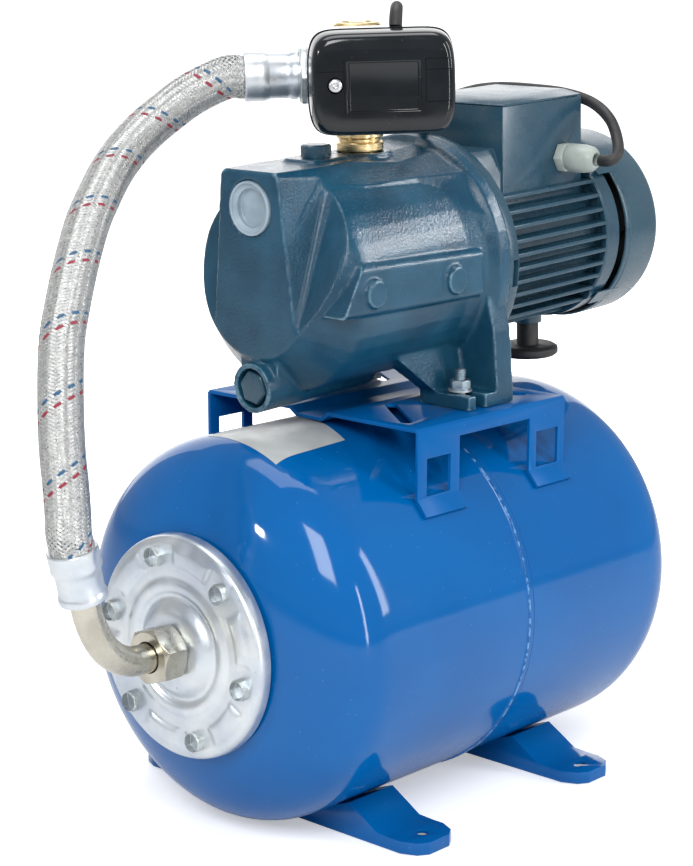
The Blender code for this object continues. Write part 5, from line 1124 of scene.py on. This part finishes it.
def make_suction_cap():
    """Push-in cap: a thin lip, a short step and a shallow cup."""
    face = pump_front
    port = pump_place @ at(0, 0, suction_port_height) @ along_x
    cap = lathe("port_cap", [
        (face + 0.0050, 0.0), (face + 0.0050, 0.0124), (face + 0.0044, 0.0130), (face + 0.0016, 0.0132),
        (face + 0.0008, 0.0156), (face + 0.0002, 0.0162), (face - 0.0008, 0.0164), (face - 0.0012, 0.0168),
        (face - 0.0012, 0.0176), (face - 0.0009, 0.0181), (face - 0.0003, 0.0182), (face + 0.0025, 0.0182),
        (face + 0.0025, 0.0144), (face + 0.0140, 0.0139), (face + 0.0140, 0.0123), (face + 0.0065, 0.0125),
        (face + 0.0065, 0.0), (face + 0.0050, 0.0),
    ], 72, port, 30)
    dress(cap, "cap_grey", "suction_cap", "cap_plastic", "suction_port_cap")


def make_fitting():
    """Brass body with its turned collars, the hose branch and the open top port."""
    r, seat = 0.0163, 0.0806
    body = lathe("fitting_body", [
        (0.0600, 0.0107), (0.0600, 0.0125), (seat, 0.0125), (seat, r - 0.0010), (seat + 0.0008, r - 0.0002),
        (seat + 0.0020, r), (seat + 0.0056, r), (seat + 0.0064, r - 0.0006), (seat + 0.0070, r - 0.0016),
        (seat + 0.0086, r - 0.0016), (seat + 0.0092, r - 0.0006), (seat + 0.0100, r), (0.1120, r - 0.0006),
        (0.1500, r - 0.0008), (0.1520, r - 0.0020), (0.1555, r - 0.0020), (0.1570, r), (0.1665, r),
        (0.1677, r - 0.0010), (0.1680, 0.0120), (0.1670, 0.0107), (0.0600, 0.0107),
    ], 72, fitting_place, 30)
    dress(body, "turned_brass", "pump_set", "brass", "outlet_fitting")
    branch = lathe("fitting_branch_tube", [
        (0.0125, 0.0095), (0.0125, 0.0145), (0.0279, 0.0145), (0.0280, 0.0127), (0.0475, 0.0127),
        (0.0475, 0.0095), (0.0125, 0.0095),
    ], 56, fitting_place @ at(0, 0, branch_height) @ along_x, 30)
    dress(branch, "turned_brass", "pump_set", "brass")
    side = lathe("fitting_side_port", [
        (0.0125, 0.0045), (0.0125, 0.0100), (0.0196, 0.0100), (0.0204, 0.0094), (0.0204, 0.0045),
        (0.0125, 0.0045),
    ], 48, fitting_place @ at(0, 0, 0.126) @ along_y, 30)
    dress(side, "turned_brass", "pump_set", "brass")


# Studio


def add_light(name, spot, aim, size, power, only=()):
    light = bpy.data.lights.new(name, "AREA")
    light.shape = "RECTANGLE"
    light.size, light.size_y = size
    light.energy = power
    holder = linked(name, light)
    holder.location = spot
    holder.rotation_euler = (Vector(aim) - Vector(spot)).to_track_quat("-Z", "Y").to_euler()
    holder.visible_camera = False
    if only:
        lit = bpy.data.collections.new(name + "_lit")
        for piece in only:
            lit.objects.link(piece)
        holder.light_linking.receiver_collection = lit


def set_studio(pump_head):
    bpy.ops.object.select_all(action="DESELECT")
    bpy.ops.mesh.primitive_plane_add(size=60, location=(0, 0, -0.0005))
    floor = named("studio_floor")
    fill_level = 0.38
    cloth = bpy.data.materials.new("floor_white")
    cloth.use_nodes = True
    tree = cloth.node_tree
    shader = tree.nodes["Principled BSDF"]
    shader.inputs["Base Color"].default_value = (0.9, 0.9, 0.9, 1.0)
    shader.inputs["Roughness"].default_value = 0.7
    seen = node(tree, "LightPath").outputs["Is Camera Ray"]
    shader.inputs["Emission Color"].default_value = (1, 1, 1, 1)
    spot = node(tree, "TexCoord").outputs["Object"]
    away = node(tree, "VectorMath", {0: spot}, operation="LENGTH").outputs["Value"]
    glow = ramp(tree, away, 0.35, 1.1, fill_level, 1.0)
    tree.links.new(maths(tree, "MULTIPLY", seen, glow), shader.inputs["Emission Strength"])
    floor.data.materials.append(cloth)
    world = bpy.data.worlds.new("studio_white")
    world.use_nodes = True
    bpy.context.scene.world = world
    tree = world.node_tree
    tree.nodes.clear()
    path = node(tree, "LightPath")
    bright = maths(tree, "MAXIMUM", path.outputs["Is Camera Ray"], path.outputs["Is Transmission Ray"])
    glossy = maths(tree, "MULTIPLY", path.outputs["Is Glossy Ray"], 0.5)
    bright = maths(tree, "MAXIMUM", bright, glossy)
    strength = maths(tree, "MAXIMUM", bright, fill_level)
    sky = node(tree, "Background", {"Color": (1, 1, 1, 1), "Strength": strength})
    out = node(tree, "OutputWorld")
    tree.links.new(sky.outputs[0], out.inputs[0])
    add_light("key_softbox", (-1.6, -1.2, 1.7), (0, 0, 0.25), (0.8, 1.2), 40)
    add_light("star_lamp", (-2.11, 0.58, 1.0), (-0.15, -0.06, 0.23), (0.16, 0.16), 8)
    add_light("side_softbox", (1.3, -1.9, 1.1), (0, 0, 0.25), (0.4, 1.4), 20)
    add_light("low_strip", (-0.30, -2.1, 0.6), (-0.1, 0, 0.2), (0.16, 1.1), 9)
    add_light("strip_softbox", (1.39, -0.89, 1.08), (-0.07, -0.06, 0.41), (1.0, 0.2), 18, [pump_head])
    add_light("top_softbox", (0.1, 0.3, 2.2), (0, 0, 0.3), (1.6, 1.0), 20)
    add_light("back_wall", (1.7, 2.0, 1.15), (0, 0, 0.3), (3.2, 2.2), 31)
    bpy.context.scene.view_settings.view_transform = "Standard"


# Nodes that keep their CAD shape

keep = {
    "blue_enamel": ("tank_neck_ring",),
    "turned_brass": ("jet_nozzle", "impeller", "switch_nipple", "air_valve"),
    "bare_steel": ("motor_shaft", "front_bearing", "rear_bearing", "range_spring"),
    "dull_zinc": ("switch_rocker",),
    "copper_wire": ("rotor", "stator"),
    "rubber": ("membrane", "mechanical_seal", "pressure_piston"),
    "dark_plastic_and_shade": ("venturi_tube", "diffuser", "capacitor"),
    "grey_nylon": ("terminal_block", "contact_block"),
}


def dress_kept():
    for look, names in keep.items():
        for name in names:
            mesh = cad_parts[name].data
            for i in range(max(1, len(mesh.materials))):
                if mesh.materials:
                    mesh.materials[i] = finish(look)
                else:
                    mesh.materials.append(finish(look))


def make_eased():
    rows = (
        ("front_foot", "blue_enamel", "pump_set", "blue_paint", 0.0010),
        ("rear_foot", "blue_enamel", "pump_set", "blue_paint", 0.0010),
        ("pump_bracket", "bracket_enamel", "pump_set", "blue_paint", 0.0005),
        ("motor_bracket", "motor_paint", "pump_set", "pump_paint", 0.0007),
        ("motor_housing", "motor_paint", "pump_set", "pump_paint", 0.0008),
        ("end_shield", "motor_paint", "pump_set", "pump_paint", 0.0007),
        ("terminal_box_lid", "motor_paint", "terminal_lid", "pump_paint", 0.0008),
        ("priming_plug", "motor_paint", "priming_plug", "pump_paint", 0.0010),
        ("drain_plug", "motor_paint", "drain_plug", "pump_paint", 0.0010),
        ("motor_foot", "rubber", "pump_set", "black_rubber", 0.0005),
        ("gland_body", "grey_nylon", "pump_set", "grey_plastic", 0.0004),
        ("gland_nut", "grey_nylon", "pump_set", "grey_plastic", 0.0004),
        ("fan", "dark_plastic_and_shade", "rotor_group", "black_plastic", 0.0),
        ("air_valve_cap", "dark_plastic_and_shade", "air_valve_cap", "black_plastic", 0.0003),
    )
    for source, look, body, slot, width in rows:
        eased(source, look, body, slot, width)


set_camera()
make_hose()
make_lead()
tank_front = make_tank()
make_plate(tank_front)
make_flange()
make_flange_bolts()
make_elbow()
make_ferrules()
pump_head = make_pump_head()
make_eased()
make_switch()
make_fan_cover()
make_mounts()
make_suction_cap()
make_fitting()
dress_kept()
set_studio(pump_head)

bpy.context.view_layer.update()
